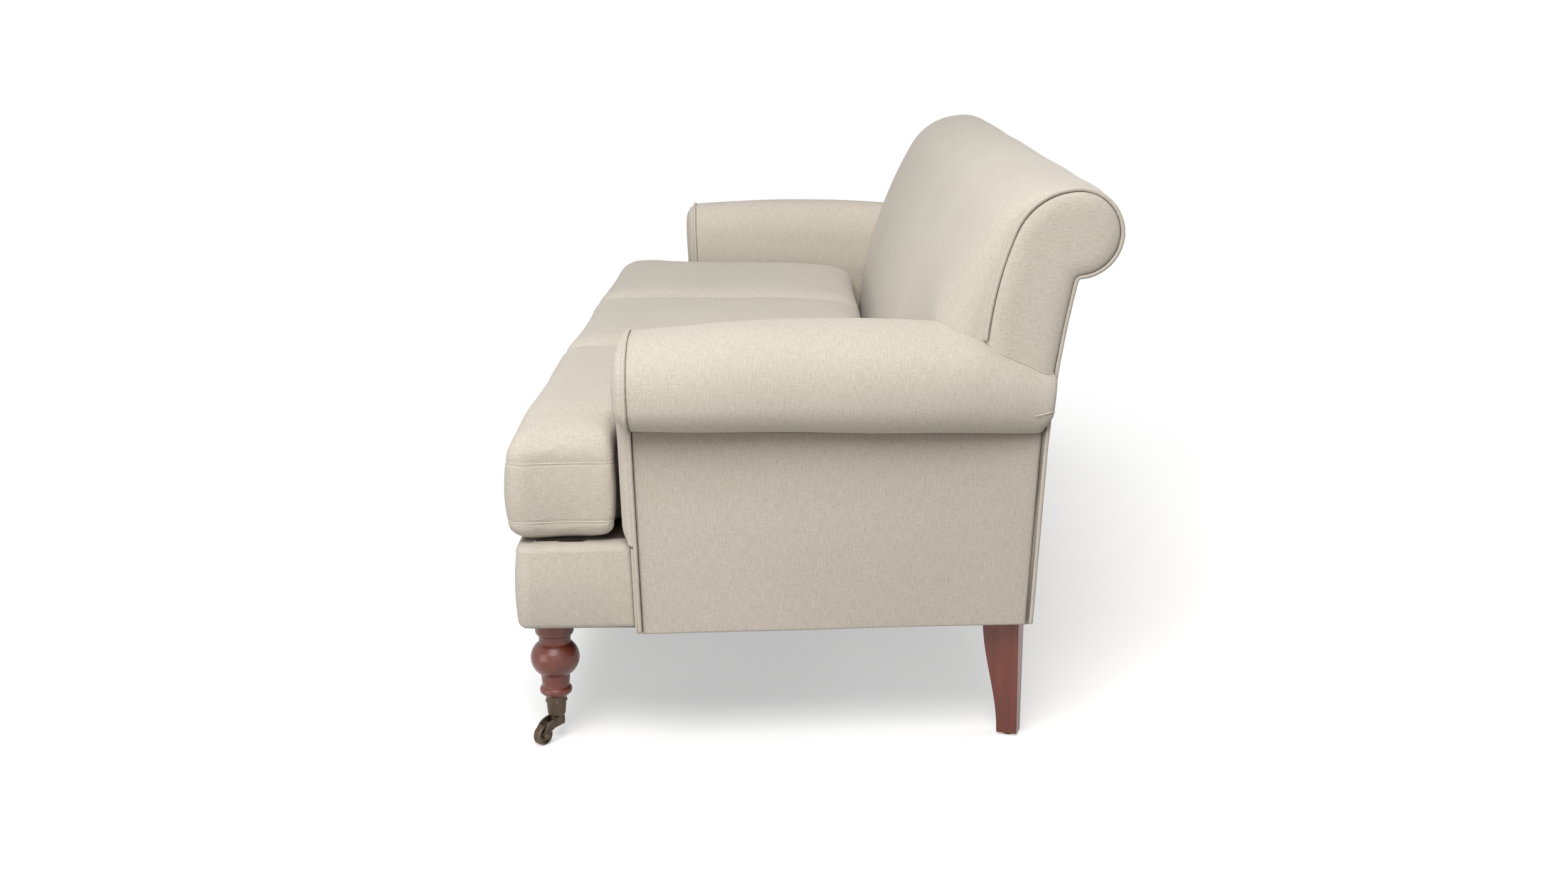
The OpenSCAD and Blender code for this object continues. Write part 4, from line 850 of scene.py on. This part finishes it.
def gapTo(outline, points):  # distance of points from a closed outline
    a, b = outline[None], np.roll(outline, -1, axis=0)[None]
    p = np.asarray(points)[:, None]
    along = ((p - a) * (b - a)).sum(axis=2) / np.maximum(((b - a) ** 2).sum(axis=2), 1e-9)
    nearest = a + np.clip(along, 0, 1)[:, :, None] * (b - a)
    return np.sqrt(((p - nearest) ** 2).sum(axis=2)).min(axis=1)


def inOutline(outline, points):  # which points lie inside a closed outline
    a, b = outline, np.roll(outline, -1, axis=0)
    inside = np.zeros(len(points), bool)
    for p, q in zip(a, b):
        crosses = (p[1] > points[:, 1]) != (q[1] > points[:, 1])
        slope = (q[0] - p[0]) * (points[:, 1] - p[1]) / (q[1] - p[1] + 1e-12) + p[0]
        inside ^= crosses & (points[:, 0] < slope)
    return inside


# padded panel in a welted outline: it rises from its edge to crown over run (mm)
def paddedPanel(name, outline, edge, run, crown, back, place, side):
    outline, step = anticlockwise(outline), 9.0

    def rise(d):
        t = np.clip(d / run, 0, 1)
        return crown * np.sqrt(1 - (1 - t) ** 2.4)

    insets = [0.0, 0.5, 1.6, 3.4, 6.0]
    flats, heights = [insetOutline(outline, edge + 6), insetOutline(outline, edge)], [back, back]
    for d in insets:
        flats.append(insetOutline(outline, edge + d))
        heights.append(float(rise(d)))
    n = len(outline)
    plan = [tuple(q) for flat in flats for q in flat]
    lift = [h for h in heights for _ in range(n)]
    faces = [(r * n + i, r * n + (i + 1) % n, (r + 1) * n + (i + 1) % n, (r + 1) * n + i)
             for r in range(len(flats) - 1) for i in range(n)]
    lo, hi = outline.min(axis=0), outline.max(axis=0)
    inner = np.array([(x + (k % 2) * step / 2, y)
                      for k, y in enumerate(np.arange(lo[1], hi[1], step * 0.87))
                      for x in np.arange(lo[0], hi[0], step)])
    inner = inner[inOutline(outline, inner)]
    inner = inner[gapTo(outline, inner) > edge + insets[-1] + step * 0.55]
    for first, points, at in ((len(plan) - n, inner, None), (0, inner[::4], back)):
        ring = [Vector(plan[first + i]) for i in range(n)]
        fill = geometry.delaunay_2d_cdt(ring + [Vector(p) for p in points],
                                        [(i, (i + 1) % n) for i in range(n)], [], 1, 1e-4)
        where = {}
        for index, origin in enumerate(fill[3]):
            where[index] = first + origin[0] if origin and origin[0] < n else len(plan)
            if where[index] == len(plan):
                plan.append(tuple(fill[0][index]))
                gap = gapTo(outline, [plan[-1]])[0] - edge
                lift.append(back if at is not None else float(rise(gap)))
        faces += [tuple(where[i] for i in face) for face in fill[2]]
    points = [place(q[0], q[1], h) for q, h in zip(plan, lift)]
    return meshPiece(name, [(x * side / 1000, y / 1000, z / 1000) for x, y, z in points], faces,
                     [np.array(plan[i]) / 1000 for face in faces for i in face])


def buildFacing(sideName, side):
    outline = np.vstack([armOutline(deckZ - 1, 0), [(form["armT"], z) for z in
                                                    np.linspace(rollLow(0), deckZ - 1, 18)[1:]]])

    def place(u, z, h):
        x, y, z = armPoint((u, z), 0)
        return (x, y - h, z)

    facing = paddedPanel("armFacing." + sideName, spaced(outline, 6.0, closed=True), besideWelt,
                         armLook["facingRun"], form["facingCrown"], -3.0, place, side)
    ripple(facing, 1.2, 70, 21 + side)
    strip = pillow("facingStrip." + sideName, stripPlace,
                   (form["armT"] - besideWelt - armLook["stripInU"] - 0.2, form["border"]), 0, 8.0,
                   3.0, 0.6, (14, 30), side)
    joinInto(facing, strip)
    finishPiece(facing, linen, ["arm_facing_" + sideName])


def stripPlace(a, b, h):  # the facing's foot beside the border
    z = mix(form["baseZ"], deckZ, b)
    u = mix(armLook["stripInU"], form["armT"] - besideWelt, a)
    return (armX(u, faceAt(z)), faceAt(z) - h, z)


# upholstered panel: place(a, b, h) gives a point at shares a, b and height h over its back
def pillow(name, place, size, back, thick, rounding, crown, steps, side=1):
    na, nb = steps
    shares = []
    for count, length in ((na, size[0]), (nb, size[1])):
        edge = [rounding * f / length for f in (0, 0.13, 0.38, 0.75)]
        middle = np.linspace(rounding * 1.3 / length, 1 - rounding * 1.3 / length, count)
        shares.append(np.concatenate([edge, middle, [1 - e for e in edge[::-1]]]))
    rows, cols = shares[0], shares[1]
    grid = []
    for a in rows:
        ring = []
        for b in cols:
            gap = min(a * size[0], (1 - a) * size[0], b * size[1], (1 - b) * size[1])
            t = min(gap / rounding, 1)
            lift = thick - rounding * (1 - math.sqrt(max(1 - (1 - t) ** 2, 0)))
            lift += crown * (math.sin(math.pi * a) * math.sin(math.pi * b)) ** 0.6 \
                if 0 < a < 1 and 0 < b < 1 else 0
            ring.append(place(a, b, lift))
        ring += [place(a, b, back) for b in cols[::-1]]
        grid.append(ring)
    return loft(name, grid, side=side)


both(buildFacing)


def buildOutsideArm(sideName, side):
    def place(a, b, h):
        z = mix(form["baseZ"], rollLow(a) - 0.2, b)
        y = mix(faceAt(z) + besideWelt, armRear(z), a)
        return (armX(form["armT"] - form["skin"] + h, y), y, z)

    panel = pillow("outsideArm." + sideName, place, (620, 348), 0, form["skin"], 3.0, 1.6,
                   (60, 36), side)
    ripple(panel, 1.3, 210, 31 + side)
    # the panel's cloth carries the painted shadow under the roll
    finishPiece(panel, underRollShadowLinen, ["outside_arm_" + sideName])


both(buildOutsideArm)


def buildArmWelt(sideName, side):
    outline = armOutline(deckZ + 14, 0)
    path = [armPoint(p, 0) for p in outline]
    path += [armPoint((form["armT"], z), 0)
             for z in np.linspace(rollLow(0), form["baseZ"] + weltR, 60)[1:]]
    welt = tube("armWelt." + sideName, spaced(path, 4.0), weltR, side=side)
    ripple(welt, 0.35, 9, 41 + side)
    finishPiece(welt, biasLinen, ["arm_welt_" + sideName])


both(buildArmWelt)
print("arms ready")

# front border and deck

borderLook = {"swell": 3, "topRound": 13, "cornerR": 26, "hem": 5, "capW": 45,
              "softDepth": 1.8, "softSize": 240}
deckLook = {"rear": 246.0, "thick": 19.6}
coverLook = {"frontIn": 31, "behindU": 140, "beforeU": 103, "softDepth": 0.8, "softSize": 160}


# plan line of the border at inset d, from the middle of the front to the right arm
def borderPath(d, z):
    r = borderLook["cornerR"]
    yf = frontY + form["borderSetback"]
    y = faceAt(z) - 8.4
    xf, xr = armX(form["borderEnd"] - d, yf + r), armX(form["borderEnd"] - d, y)
    line = [(x, yf + d) for x in np.linspace(0, xf - r, 60)]
    line += [(xf - r + (r - min(d, r - 2)) * math.sin(a),
              yf + r - (r - min(d, r - 2)) * math.cos(a))
             for a in np.linspace(0, math.pi / 2, 12)[1:]] if d < r else \
            [(mix(xf - r, xf, a), yf + d) for a in np.linspace(0, 1, 12)[1:]]
    end = line[-1]
    line += [(mix(end[0], xr, t), mix(end[1], y, t)) for t in np.linspace(0, 1, 30)[1:]]
    return line


def buildBorder():
    h, look = form["border"], borderLook
    profile = [(14, 0.0), (look["hem"], 0.0), (look["hem"] * 0.62, 0.012),
               (look["hem"] * 0.3, 0.03), (look["hem"] * 0.08, 0.055)]
    profile += [(-look["swell"] * math.sin(math.pi * t) ** 0.8, mix(0.075, 0.86, t))
                for t in np.linspace(0, 1, 16)]
    r = look["topRound"]
    profile += [(r * (1 - math.cos(a)), 1 - (r / h) * (1 - math.sin(a)))
                for a in np.linspace(0.1, math.pi / 2, 9)]
    profile += [(20, 1.0), (30, 0.999), (look["capW"] - 4, 0.995), (look["capW"], 0.98),
                (look["capW"], 0.86), (30, 0.86)]
    grid = []
    for d, t in profile:
        z = form["baseZ"] + t * h
        right = borderPath(d, z)
        left = [(-x, y) for x, y in right[:0:-1]]
        grid.append([(x, y, z) for x, y in left + right])
    grid = np.array(grid).transpose(1, 0, 2)
    border = loft("frontBorder", grid)
    ripple(border, look["softDepth"], look["softSize"], 51)
    finishPiece(border, linen, ["front_border"])


buildBorder()


def buildDeck():
    front, rear = frontY + form["borderSetback"] + borderLook["capW"], deckLook["rear"]

    def place(a, b, h):
        y = mix(front, rear, b)
        beforeArm = y < faceAt(deckZ) - 1
        limit = armX(form["borderEnd"] - borderLook["capW"] if beforeArm else -0.4, y)
        return (mix(-limit, limit, a), y, deckZ - 20 + h)

    deck = pillow("seatDeck", place, (1900, rear - front), 1, deckLook["thick"], 2.0, 0.0, (40, 90))
    # cloth with painted shade for the gap under the cushions
    finishPiece(deck, deckLinenPaintedShade, ["seat_deck"])


buildDeck()


def buildDustCover():
    def place(a, b, h):
        y = mix(frontY + coverLook["frontIn"], footY - form["skin"], b)
        limit = armX(coverLook["behindU" if y > faceY + 1 else "beforeU"], y)
        return (mix(-limit, limit, a), y, form["baseZ"] + 2 - h)

    cover = pillow("dustCover", place, (2000, 800), 0, 1.9, 1.5, 0.0, (40, 60))
    ripple(cover, coverLook["softDepth"], coverLook["softSize"], 61,
           lambda mm: (mm[:, 2] > form["baseZ"] + 0.8) * 1.0)
    finishPiece(cover, dustCloth, ["dust_cover"])


buildDustCover()
print("border and deck ready")

# back

backLook = {"bulgeW": 120, "softDepth": 3.0, "softSize": 260, "columns": 96, "coreIn": 16,
            "coreRear": 470, "softTo": 900, "softFade": 120, "sideFoot": 0.3, "sideRun": 28,
            "sideCrown": 10, "weltFoot": 0.86}


def buildBackPad():
    xe, foot = backEndX, deckZ + 0.4
    swell = [(xe, 0, crease), (xe - crease * 0.45, 0, crease * 0.35), (xe - crease, 0, 0)]
    swell += [(xe - crease - t * backLook["bulgeW"], math.sqrt(1 - (1 - t) ** 2), 0)
              for t in (0.015, 0.04, 0.08, 0.13, 0.19, 0.26, 0.34, 0.43, 0.53, 0.64, 0.76, 0.88, 1)]
    inner = [(x, 1, 0) for x in np.linspace(xe - crease - backLook["bulgeW"], 0,
                                            backLook["columns"] // 2)[1:]]
    half = swell + inner
    stations = half + [(-x, t, d) for x, t, d in half[-2::-1]]
    full = fullCurve(foot)
    grid = []
    for x, t, d in stations:
        edge = endCurve(d, foot)
        outer = mix(edge, full, t)
        core = endCurve(backLook["coreIn"], foot)
        core[:, 0] = np.minimum(np.maximum(core[:, 0], outer[:, 0] + 4), backLook["coreRear"])
        ring = np.vstack([outer, core[::-1]])
        grid.append([(x, p[0], p[1]) for p in ring])
    pad = loft("backPad", grid)

    def inside(mm):
        return np.clip((backLook["softTo"] - np.abs(mm[:, 0])) / backLook["softFade"], 0, 1)

    ripple(pad, backLook["softDepth"], backLook["softSize"], 71, inside)
    finishPiece(pad, linen, ["back_pad"])


buildBackPad()


def sideOutline(footZ):
    rear = [(rearAt(z), z) for z in np.linspace(rollC[1] - form["rollR"], footZ, 24)]
    return np.vstack([endCurve(0, footZ), rear])


def buildBackSide(sideName, side):
    foot = rollZ + backLook["sideFoot"] * form["rollH"]
    outline = sideOutline(foot)
    bottom = np.array([(mix(outline[-1][0], outline[0][0], t), foot)
                       for t in np.linspace(0, 1, 12)[1:-1]])
    outline = spaced(np.vstack([outline, bottom]), 5.5, closed=True)
    panel = paddedPanel("backSide." + sideName, outline, besideWelt, backLook["sideRun"],
                        backLook["sideCrown"], -9.5, lambda y, z, h: (backEndX + h, y, z), side)
    ripple(panel, 1.4, 120, 81 + side)
    finishPiece(panel, linen, ["back_side_" + sideName])


both(buildBackSide)


def buildBackWelt(sideName, side):
    foot = rollZ + backLook["weltFoot"] * form["rollH"]
    outline = sideOutline(foot)
    rear = [(rearAt(z), z) for z in np.linspace(foot, form["baseZ"] + weltR, 60)[1:]]
    path = [(backEndX, p[0], p[1]) for p in np.vstack([outline, rear])]
    welt = tube("backWelt." + sideName, spaced(path, 4.0), weltR, side=side)
    ripple(welt, 0.35, 9, 91 + side)
    finishPiece(welt, biasLinen, ["back_welt_" + sideName])


both(buildBackWelt)


def buildOutsideBack():
    top = rollC[1] - form["rollR"] - 0.4
    width = backEndX - besideWelt

    def place(a, b, h):
        z = mix(form["baseZ"], top, b)
        return (mix(-width, width, a), rearAt(z) - form["skin"] + h, z)

    panel = pillow("outsideBack", place, (2 * width, top - form["baseZ"]), 0, form["skin"], 3.0,
                   1.0, (90, 50))
    ripple(panel, 2.0, 300, 101)
    finishPiece(panel, linen, ["outside_back"])


buildOutsideBack()
print("back ready")

# seat cushions

cushionLook = {
    "voxel": 8.5, "frames": 20, "puff": 4.0, "slip": 3.0, "crownRun": 62.0,
    "bellyRun": 75, "startCrown": 0.77, "fullness": 2.6, "dome": 5.0,
    "rearFall": 14.0, "rearRun": 200.0,
    "soften": 18, "earWall": 0.75, "cornerR": 30, "earCornerR": 13,
    "pinch": 5, "earFall": 0.3, "earFallRun": 190,
    "seamWidth": 6.0, "seamDepth": 2.0, "puckerDepth": 1.1, "puckerSize": 26,
    "held": 9.0, "puckerReach": 32.0, "softDepth": 1.6, "softSize": 150,
    "threadR": 1.0, "stitchDrop": 6.0,
}
clothFeel = {
    "quality": 4, "mass": 0.25, "tension_stiffness": 12, "compression_stiffness": 12,
    "shear_stiffness": 6, "bending_stiffness": 0.6, "use_pressure": True,
    "uniform_pressure_force": 4.0, "vertex_group_mass": "seams",
}
armClear = weltR + 0.7


def frontOfBack(z):
    full = fullCurve(form["baseZ"])
    front = full[:40]
    return float(np.interp(z, front[:, 1], front[:, 0]))


rearEdge = frontOfBack(seamLow) - 0.8
gap = 0.6
half = form["cushionW"] / 2
earU = form["borderEnd"] - form["earIn"]
cushionCorners = {
    "centre": [(-half + gap, frontY), (half - gap, frontY), (half - gap, rearEdge),
               (-half + gap, rearEdge)],
    "right": [(half + gap, frontY), (armX(earU, frontY), frontY), (armX(earU, earY), earY),
              (armX(-armClear, earY), earY), (armX(-armClear, rearEdge), rearEdge),
              (half + gap, rearEdge)],
}
cushionCorners["left"] = [(-x, y) for x, y in cushionCorners["right"][::-1]]


# rounded outline of a cushion, drawn in by d, with its long sides slightly pinched
def cushionPlan(corners, d):
    corners, step = np.array(corners, float), 9.0
    n = len(corners)
    moved = []
    for i in range(n):
        a = corners[i] - corners[i - 1]
        b = corners[(i + 1) % n] - corners[i]
        n1 = np.array([-a[1], a[0]]) / np.linalg.norm(a)
        n2 = np.array([-b[1], b[0]]) / np.linalg.norm(b)
        moved.append(corners[i] + (d + 3) * (n1 + n2) / (1 + n1 @ n2))
    arcs = []
    for i in range(n):
        besideFacing = abs(corners[i][1] - earY) < 1 and abs(corners[i][0]) > armX(0, earY)
        r = max(cushionLook["earCornerR" if besideFacing else "cornerR"] - d / 2, 7.5)
        p, q, s = moved[i - 1], moved[i], moved[(i + 1) % n]
        d1, d2 = (p - q) / np.linalg.norm(p - q), (s - q) / np.linalg.norm(s - q)
        halfAngle = math.acos(np.clip(d1 @ d2, -1, 1)) / 2
        centre = q + (d1 + d2) / np.linalg.norm(d1 + d2) * r / math.sin(halfAngle)
        t = r / math.tan(halfAngle)
        start, end = q + d1 * t - centre, q + d2 * t - centre
        a0 = math.atan2(start[1], start[0])
        sweep = (math.atan2(end[1], end[0]) - a0 + math.pi) % (2 * math.pi) - math.pi
        arcs.append([centre + r * np.array([math.cos(a0 + sweep * f), math.sin(a0 + sweep * f)])
                     for f in np.linspace(0, 1, 9)])
    line = []
    for i in range(n):
        line += arcs[i]
        a, b = arcs[i][-1], arcs[(i + 1) % n][0]
        length = np.linalg.norm(b - a)
        inward = np.array([-(b - a)[1], (b - a)[0]]) / length
        count = max(int(length / step), 2)
        line += [mix(a, b, f) + inward * cushionLook["pinch"] * math.sin(math.pi * f)
                 for f in np.linspace(0, 1, count + 1)[1:-1]]
    return np.array(line)


def crownShare(x):
    t = np.clip((np.abs(x) - armX(earU, frontY)) / cushionLook["earFallRun"] + 1, 0, 1)
    return 1 - cushionLook["earFall"] * t * t * (3 - 2 * t)


def crownRing(corners, d):  # the ear's rear edge stands up steeply against the arm facing
    ring = cushionPlan(corners, d)
    if len(corners) < 6:
        return ring
    inner = armX(-armClear, earY) - d - 40
    past = ring[:, 1] - (earY - d)
    share = np.where(past > 0, 1 - past / (1.5 * d), 1 + past / 110).clip(0, 1)
    x = ((np.abs(ring[:, 0]) - inner) / 60).clip(0, 1)
    ring[:, 1] += cushionLook["earWall"] * d * share * x * x * (3 - 2 * x)
    return ring


def cushionStart(name, corners):
    look = cushionLook
    grid = []
    crown = form["crown"] * look["startCrown"]
    belly = form["belly"] - 1
    for t in (1.6, 1.0, 0.7, 0.45, 0.25, 0.12, 0.04):
        depth = math.sqrt(1 - (1 - min(t * 1.8, 1)) ** 2)
        grid.append([(p[0], p[1], seamLow - belly * depth)
                     for p in cushionPlan(corners, t * look["bellyRun"])])
    for t in (0, 0.2, 0.4, 0.6, 0.8, 1):
        grid.append([(p[0], p[1], seamLow + form["band"] * t)
                     for p in cushionPlan(corners, 2 - 3 * math.sin(math.pi * t))])
    full = look["fullness"]
    for t in (0.05, 0.14, 0.27, 0.43, 0.62, 0.82, 1.0, 1.2):
        rise = (1 - (1 - min(t, 1)) ** full) ** (1 / full)
        grid.append([(p[0], p[1], seamHigh + crown * rise * crownShare(p[0]))
                     for p in crownRing(corners, 2 + t * look["crownRun"])])
    obj = loft(name, [spaced(ring, closed=True, count=220) for ring in grid])
    remesh = obj.modifiers.new("remesh", "REMESH")
    remesh.mode = "VOXEL"
    remesh.voxel_size = look["voxel"] / 1000
    co, _ = readPoints(applied(obj))
    rise = ((co[:, 2] * 1000 - seamHigh - 6) / 24).clip(0, 1)
    upper = obj.vertex_groups.new(name="upper")
    for index in np.nonzero(rise)[0]:
        upper.add([int(index)], float(rise[index]), "REPLACE")
    soft = obj.modifiers.new("soften", "SMOOTH")
    soft.factor, soft.iterations, soft.vertex_group = 0.6, look["soften"], "upper"
    co, _ = readPoints(applied(obj))
    mm = co * 1000
    middle = 0 if name.endswith("centre") else math.copysign(2 * half, mm[:, 0].mean())
    across = ((mm[:, 0] - middle) / half).clip(-1, 1)
    along = ((mm[:, 1] - (frontY + rearEdge) / 2) / ((rearEdge - frontY) / 2)).clip(-1, 1)
    rise = ((mm[:, 2] - seamHigh) / crown).clip(0, 1)
    mm[:, 2] += look["dome"] * rise * (1 - across ** 2) * (1 - along ** 2)
    rearward = (1 - (rearEdge - mm[:, 1]) / look["rearRun"]).clip(0, 1)
    mm[:, 2] -= look["rearFall"] * rise * rearward ** 2
    writePoints(obj.data, mm / 1000)
    return obj


# how close each point lies to one of the two seams: 1 on it, 0 beyond width
def seamNearness(mm, outline, width):
    result = np.zeros(len(mm))
    for height in (seamLow, seamHigh):
        near = np.abs(mm[:, 2] - height) < width * 2.5
        pts = mm[near]
        if len(pts):
            gaps = np.sqrt(((pts[:, None, :2] - outline[None]) ** 2).sum(axis=2)).min(axis=1)
            share = np.clip(1 - np.hypot(gaps * 0.6, pts[:, 2] - height) / width, 0, 1)
            result[near] = np.maximum(result[near], share)
    return result


def settle(mm, where):  # off the deck, the arms, the back and the neighbours
    mm[:, 2] = mm[:, 2].clip(deckZ + 0.6, seamHigh + form["crown"] + 3)
    mm[:, 1] = np.maximum(mm[:, 1], frontY - 2)
    side = -1 if where == "left" else 1
    x = mm[:, 0] * side
    if where == "centre":
        mm[:, 0] = np.clip(mm[:, 0], -half + gap, half - gap)
    else:
        x = np.maximum(x, half + gap)
        x = np.minimum(x, armX(np.where(mm[:, 1] < earY + 2, earU + 1.5, -1.2), mm[:, 1]))
        inArm = x > armX(-armClear, earY) + 2
        mm[:, 1] = np.where(inArm & (mm[:, 1] > earY - 60) & (mm[:, 1] < earY + 80),
                            np.minimum(mm[:, 1], earY), mm[:, 1])
        mm[:, 0] = x * side
    full = fullCurve(form["baseZ"])[:46]
    mm[:, 1] = np.minimum(mm[:, 1], np.interp(mm[:, 2], full[:, 1], full[:, 0]) - 1.5)
    return mm


def puffCushions(cushions):  # one cloth run with pressure for all the cushions, seams held
    look, quick = cushionLook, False
    starts = {}
    for where, obj in cushions.items():
        co, _ = readPoints(obj.data)
        starts[where] = co * 1000
        held = obj.vertex_groups.new(name="seams")
        weight = seamNearness(starts[where], cushionPlan(cushionCorners[where], 2), look["held"])
        held.add([int(index) for index in np.nonzero(weight > 0.15)[0]], 1.0, "REPLACE")
        if quick:
            continue
        cloth = obj.modifiers.new("puff", "CLOTH")
        for key, value in clothFeel.items():
            setattr(cloth.settings, key, value)
        cloth.settings.effector_weights.gravity = 0
        cloth.collision_settings.use_collision = False
        cloth.point_cache.frame_start = 1
        cloth.point_cache.frame_end = look["frames"]
    if not quick:
        for number in range(1, look["frames"] + 1):
            scene.frame_set(number)
    depsgraph = bpy.context.evaluated_depsgraph_get()
    for where, obj in cushions.items():
        start = starts[where]
        shaped = obj.data if quick else obj.evaluated_get(depsgraph).data
        co, _ = readPoints(shaped)
        _, normals = readPoints(obj.data)
        move = co * 1000 - start
        swell = (move * normals).sum(axis=1, keepdims=True)
        slide = move - swell * normals
        length = np.linalg.norm(slide, axis=1, keepdims=True)
        slide *= np.minimum(1, look["slip"] / np.maximum(length, 1e-6))
        most = look["puff"] * (1 - 0.75 * ((start[:, 2:] - seamHigh) / 60).clip(0, 1))
        mm = settle(start + np.clip(swell, -0.5, most) * normals + slide, where)
        obj.modifiers.clear()
        writePoints(obj.data, mm / 1000)
    scene.frame_set(1)


def boxUv(mesh):  # UVs in metres, looking along each face's main direction
    layer = mesh.uv_layers.get("cloth") or mesh.uv_layers.new(name="cloth")
    uv = np.zeros((len(mesh.loops), 2), np.float32)
    co, _ = readPoints(mesh)
    for face in mesh.polygons:
        n = face.normal
        axis = max(range(3), key=lambda k: abs(n[k]) * (1.25 if k == 2 else 1))
        pair = ((1, 2), (0, 2), (0, 1))[axis]
        for loop in face.loop_indices:
            p = co[mesh.loops[loop].vertex_index]
            uv[loop] = (p[pair[0]], p[pair[1]])
    layer.data.foreach_set("uv", uv.ravel())


# points where the seam runs on the finished cushion, in millimetres
def seamLine(obj, where, height, lift):
    tree = BVHTree.FromObject(obj, bpy.context.evaluated_depsgraph_get())
    outline = spaced(cushionPlan(cushionCorners[where], 0), 5.0, closed=True)
    line = []
    for p, a in zip(outline, ahead(outline)):
        out, place = Vector((a[1], -a[0], 0)), Vector((p[0], p[1], height)) / 1000
        hit, normal, _, _ = tree.ray_cast(place + out * 0.035, -out, 0.09)
        if hit is None:
            hit, normal, _, _ = tree.find_nearest(place)
        line.append(np.array(hit + normal * (lift / 1000)) * 1000)
    smooth = np.array(line)
    for _ in range(2):
        smooth = (np.roll(smooth, 1, axis=0) + smooth * 2 + np.roll(smooth, -1, axis=0)) / 4
    return smooth


stitches = {"Pitch": 0.0044, "Length": 0.0029, "Thread Radius": 0.00045, "Wobble": 0.12}


def buildStitchTree():  # short threads laid end to end along edges, with gaps
    tree = bpy.data.node_groups.new("stitchRow", "GeometryNodeTree")
    tree.interface.new_socket("Geometry", in_out="INPUT", socket_type="NodeSocketGeometry")
    tree.interface.new_socket("Geometry", in_out="OUTPUT", socket_type="NodeSocketGeometry")
    sockets = {}
    for label in (*stitches, "Thread"):
        kind = "Float" if label in stitches else "Material"
        socket = tree.interface.new_socket(label, in_out="INPUT", socket_type="NodeSocket" + kind)
        sockets[label] = socket.identifier
    given = tree.nodes.new("NodeGroupInput").outputs
    curve = addNode(tree, "GeometryNodeMeshToCurve", {"Mesh": given["Geometry"]})
    spots = addNode(tree, "GeometryNodeCurveToPoints", {"Curve": curve, "Length": given["Pitch"]},
                    mode="LENGTH").outputs
    stitch = addNode(tree, "GeometryNodeMeshCylinder", {
        "Vertices": 6, "Radius": given["Thread Radius"], "Depth": given["Length"]})
    align = addNode(tree, "FunctionNodeAlignRotationToVector", {"Vector": spots["Tangent"]},
                    axis="Z")
    wobble = addNode(tree, "FunctionNodeRandomValue", {"Seed": 5}, data_type="FLOAT_VECTOR")
    spread = addNode(tree, "ShaderNodeVectorMath", {0: wobble, "Scale": given["Wobble"]},
                     operation="SCALE")
    lower = addNode(tree, "ShaderNodeVectorMath", {0: spread, "Scale": -0.5}, operation="SCALE")
    centred = addNode(tree, "ShaderNodeVectorMath", {0: spread, 1: lower}, operation="ADD")
    tilt = addNode(tree, "FunctionNodeEulerToRotation", {0: centred})
    turned = addNode(tree, "FunctionNodeRotateRotation", {0: align, 1: tilt})
    place = addNode(tree, "GeometryNodeInstanceOnPoints", {
        "Points": spots["Points"], "Instance": stitch.outputs["Mesh"], "Rotation": turned})
    real = addNode(tree, "GeometryNodeRealizeInstances", {0: place})
    paint = addNode(tree, "GeometryNodeSetMaterial", {"Geometry": real,
                                                      "Material": given["Thread"]})
    addNode(tree, "NodeGroupOutput", {"Geometry": paint})
    return tree, sockets


stitchTree, stitchSockets = buildStitchTree()


# rows of stitches along closed lines in millimetres, made real as one mesh
def stitchRow(name, lines, body):
    points, edges = [], []
    for line in lines:
        start = len(points)
        points += [tuple(p / 1000) for p in line]
        edges += [(start + i, start + (i + 1) % len(line)) for i in range(len(line))]
    mesh = bpy.data.meshes.new(name + "Path")
    mesh.from_pydata(points, edges, [])
    guide = linkPiece(name + "Path", mesh)
    rows = guide.modifiers.new("stitches", "NODES")
    rows.node_group = stitchTree
    for label, value in stitches.items():
        rows[stitchSockets[label]] = value
    rows[stitchSockets["Thread"]] = threadLinen
    made = applied(guide)
    bpy.data.objects.remove(guide)
    obj = linkPiece(name, made)
    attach(obj, body)


def buildCushions():
    look = cushionLook
    cushions = {where: cushionStart("seatCushion." + where, corners)
                for where, corners in cushionCorners.items()}
    print("cushions remeshed:", [len(c.data.vertices) for c in cushions.values()])
    puffCushions(cushions)
    print("cushions puffed")
    for where, obj in cushions.items():
        finer = obj.modifiers.new("finer", "SUBSURF")
        finer.levels = finer.render_levels = 1
        mesh = applied(obj)
        outward(mesh)
        outline = cushionPlan(cushionCorners[where], 1)
        body = "cushion_" + where
        seed = 111 + 7 * len(where)
        ripple(obj, look["puckerDepth"], look["puckerSize"], seed,
               lambda mm: seamNearness(mm, outline, look["puckerReach"]))
        ripple(obj, look["softDepth"], look["softSize"], seed + 3)
        co, normals = readPoints(mesh)
        mm = co * 1000
        pull = seamNearness(mm, outline, look["seamWidth"])
        mm -= normals * (pull * look["seamDepth"])[:, None]
        writePoints(mesh, settle(mm, where) / 1000)
        boxUv(mesh)
        threads, rows = [], []
        for label, height, drop in (("upper", seamHigh, -1), ("lower", seamLow, 1)):
            line = seamLine(obj, where, height, 0.2)
            threads.append(tube("seam." + label + "." + where, line, look["threadR"], sides=6,
                                closed=True))
            rows.append(seamLine(obj, where, height + drop * look["stitchDrop"], 0.15))
        joinInto(threads[0], threads[1])
        threads[0].name = "cushionSeam." + where
        finishPiece(threads[0], threadLinen, body=body)
        stitchRow("cushionStitches." + where, rows, body)
        finishPiece(obj, linen, ["seat_cushion_" + where], body)


buildCushions()
print("cushions ready")
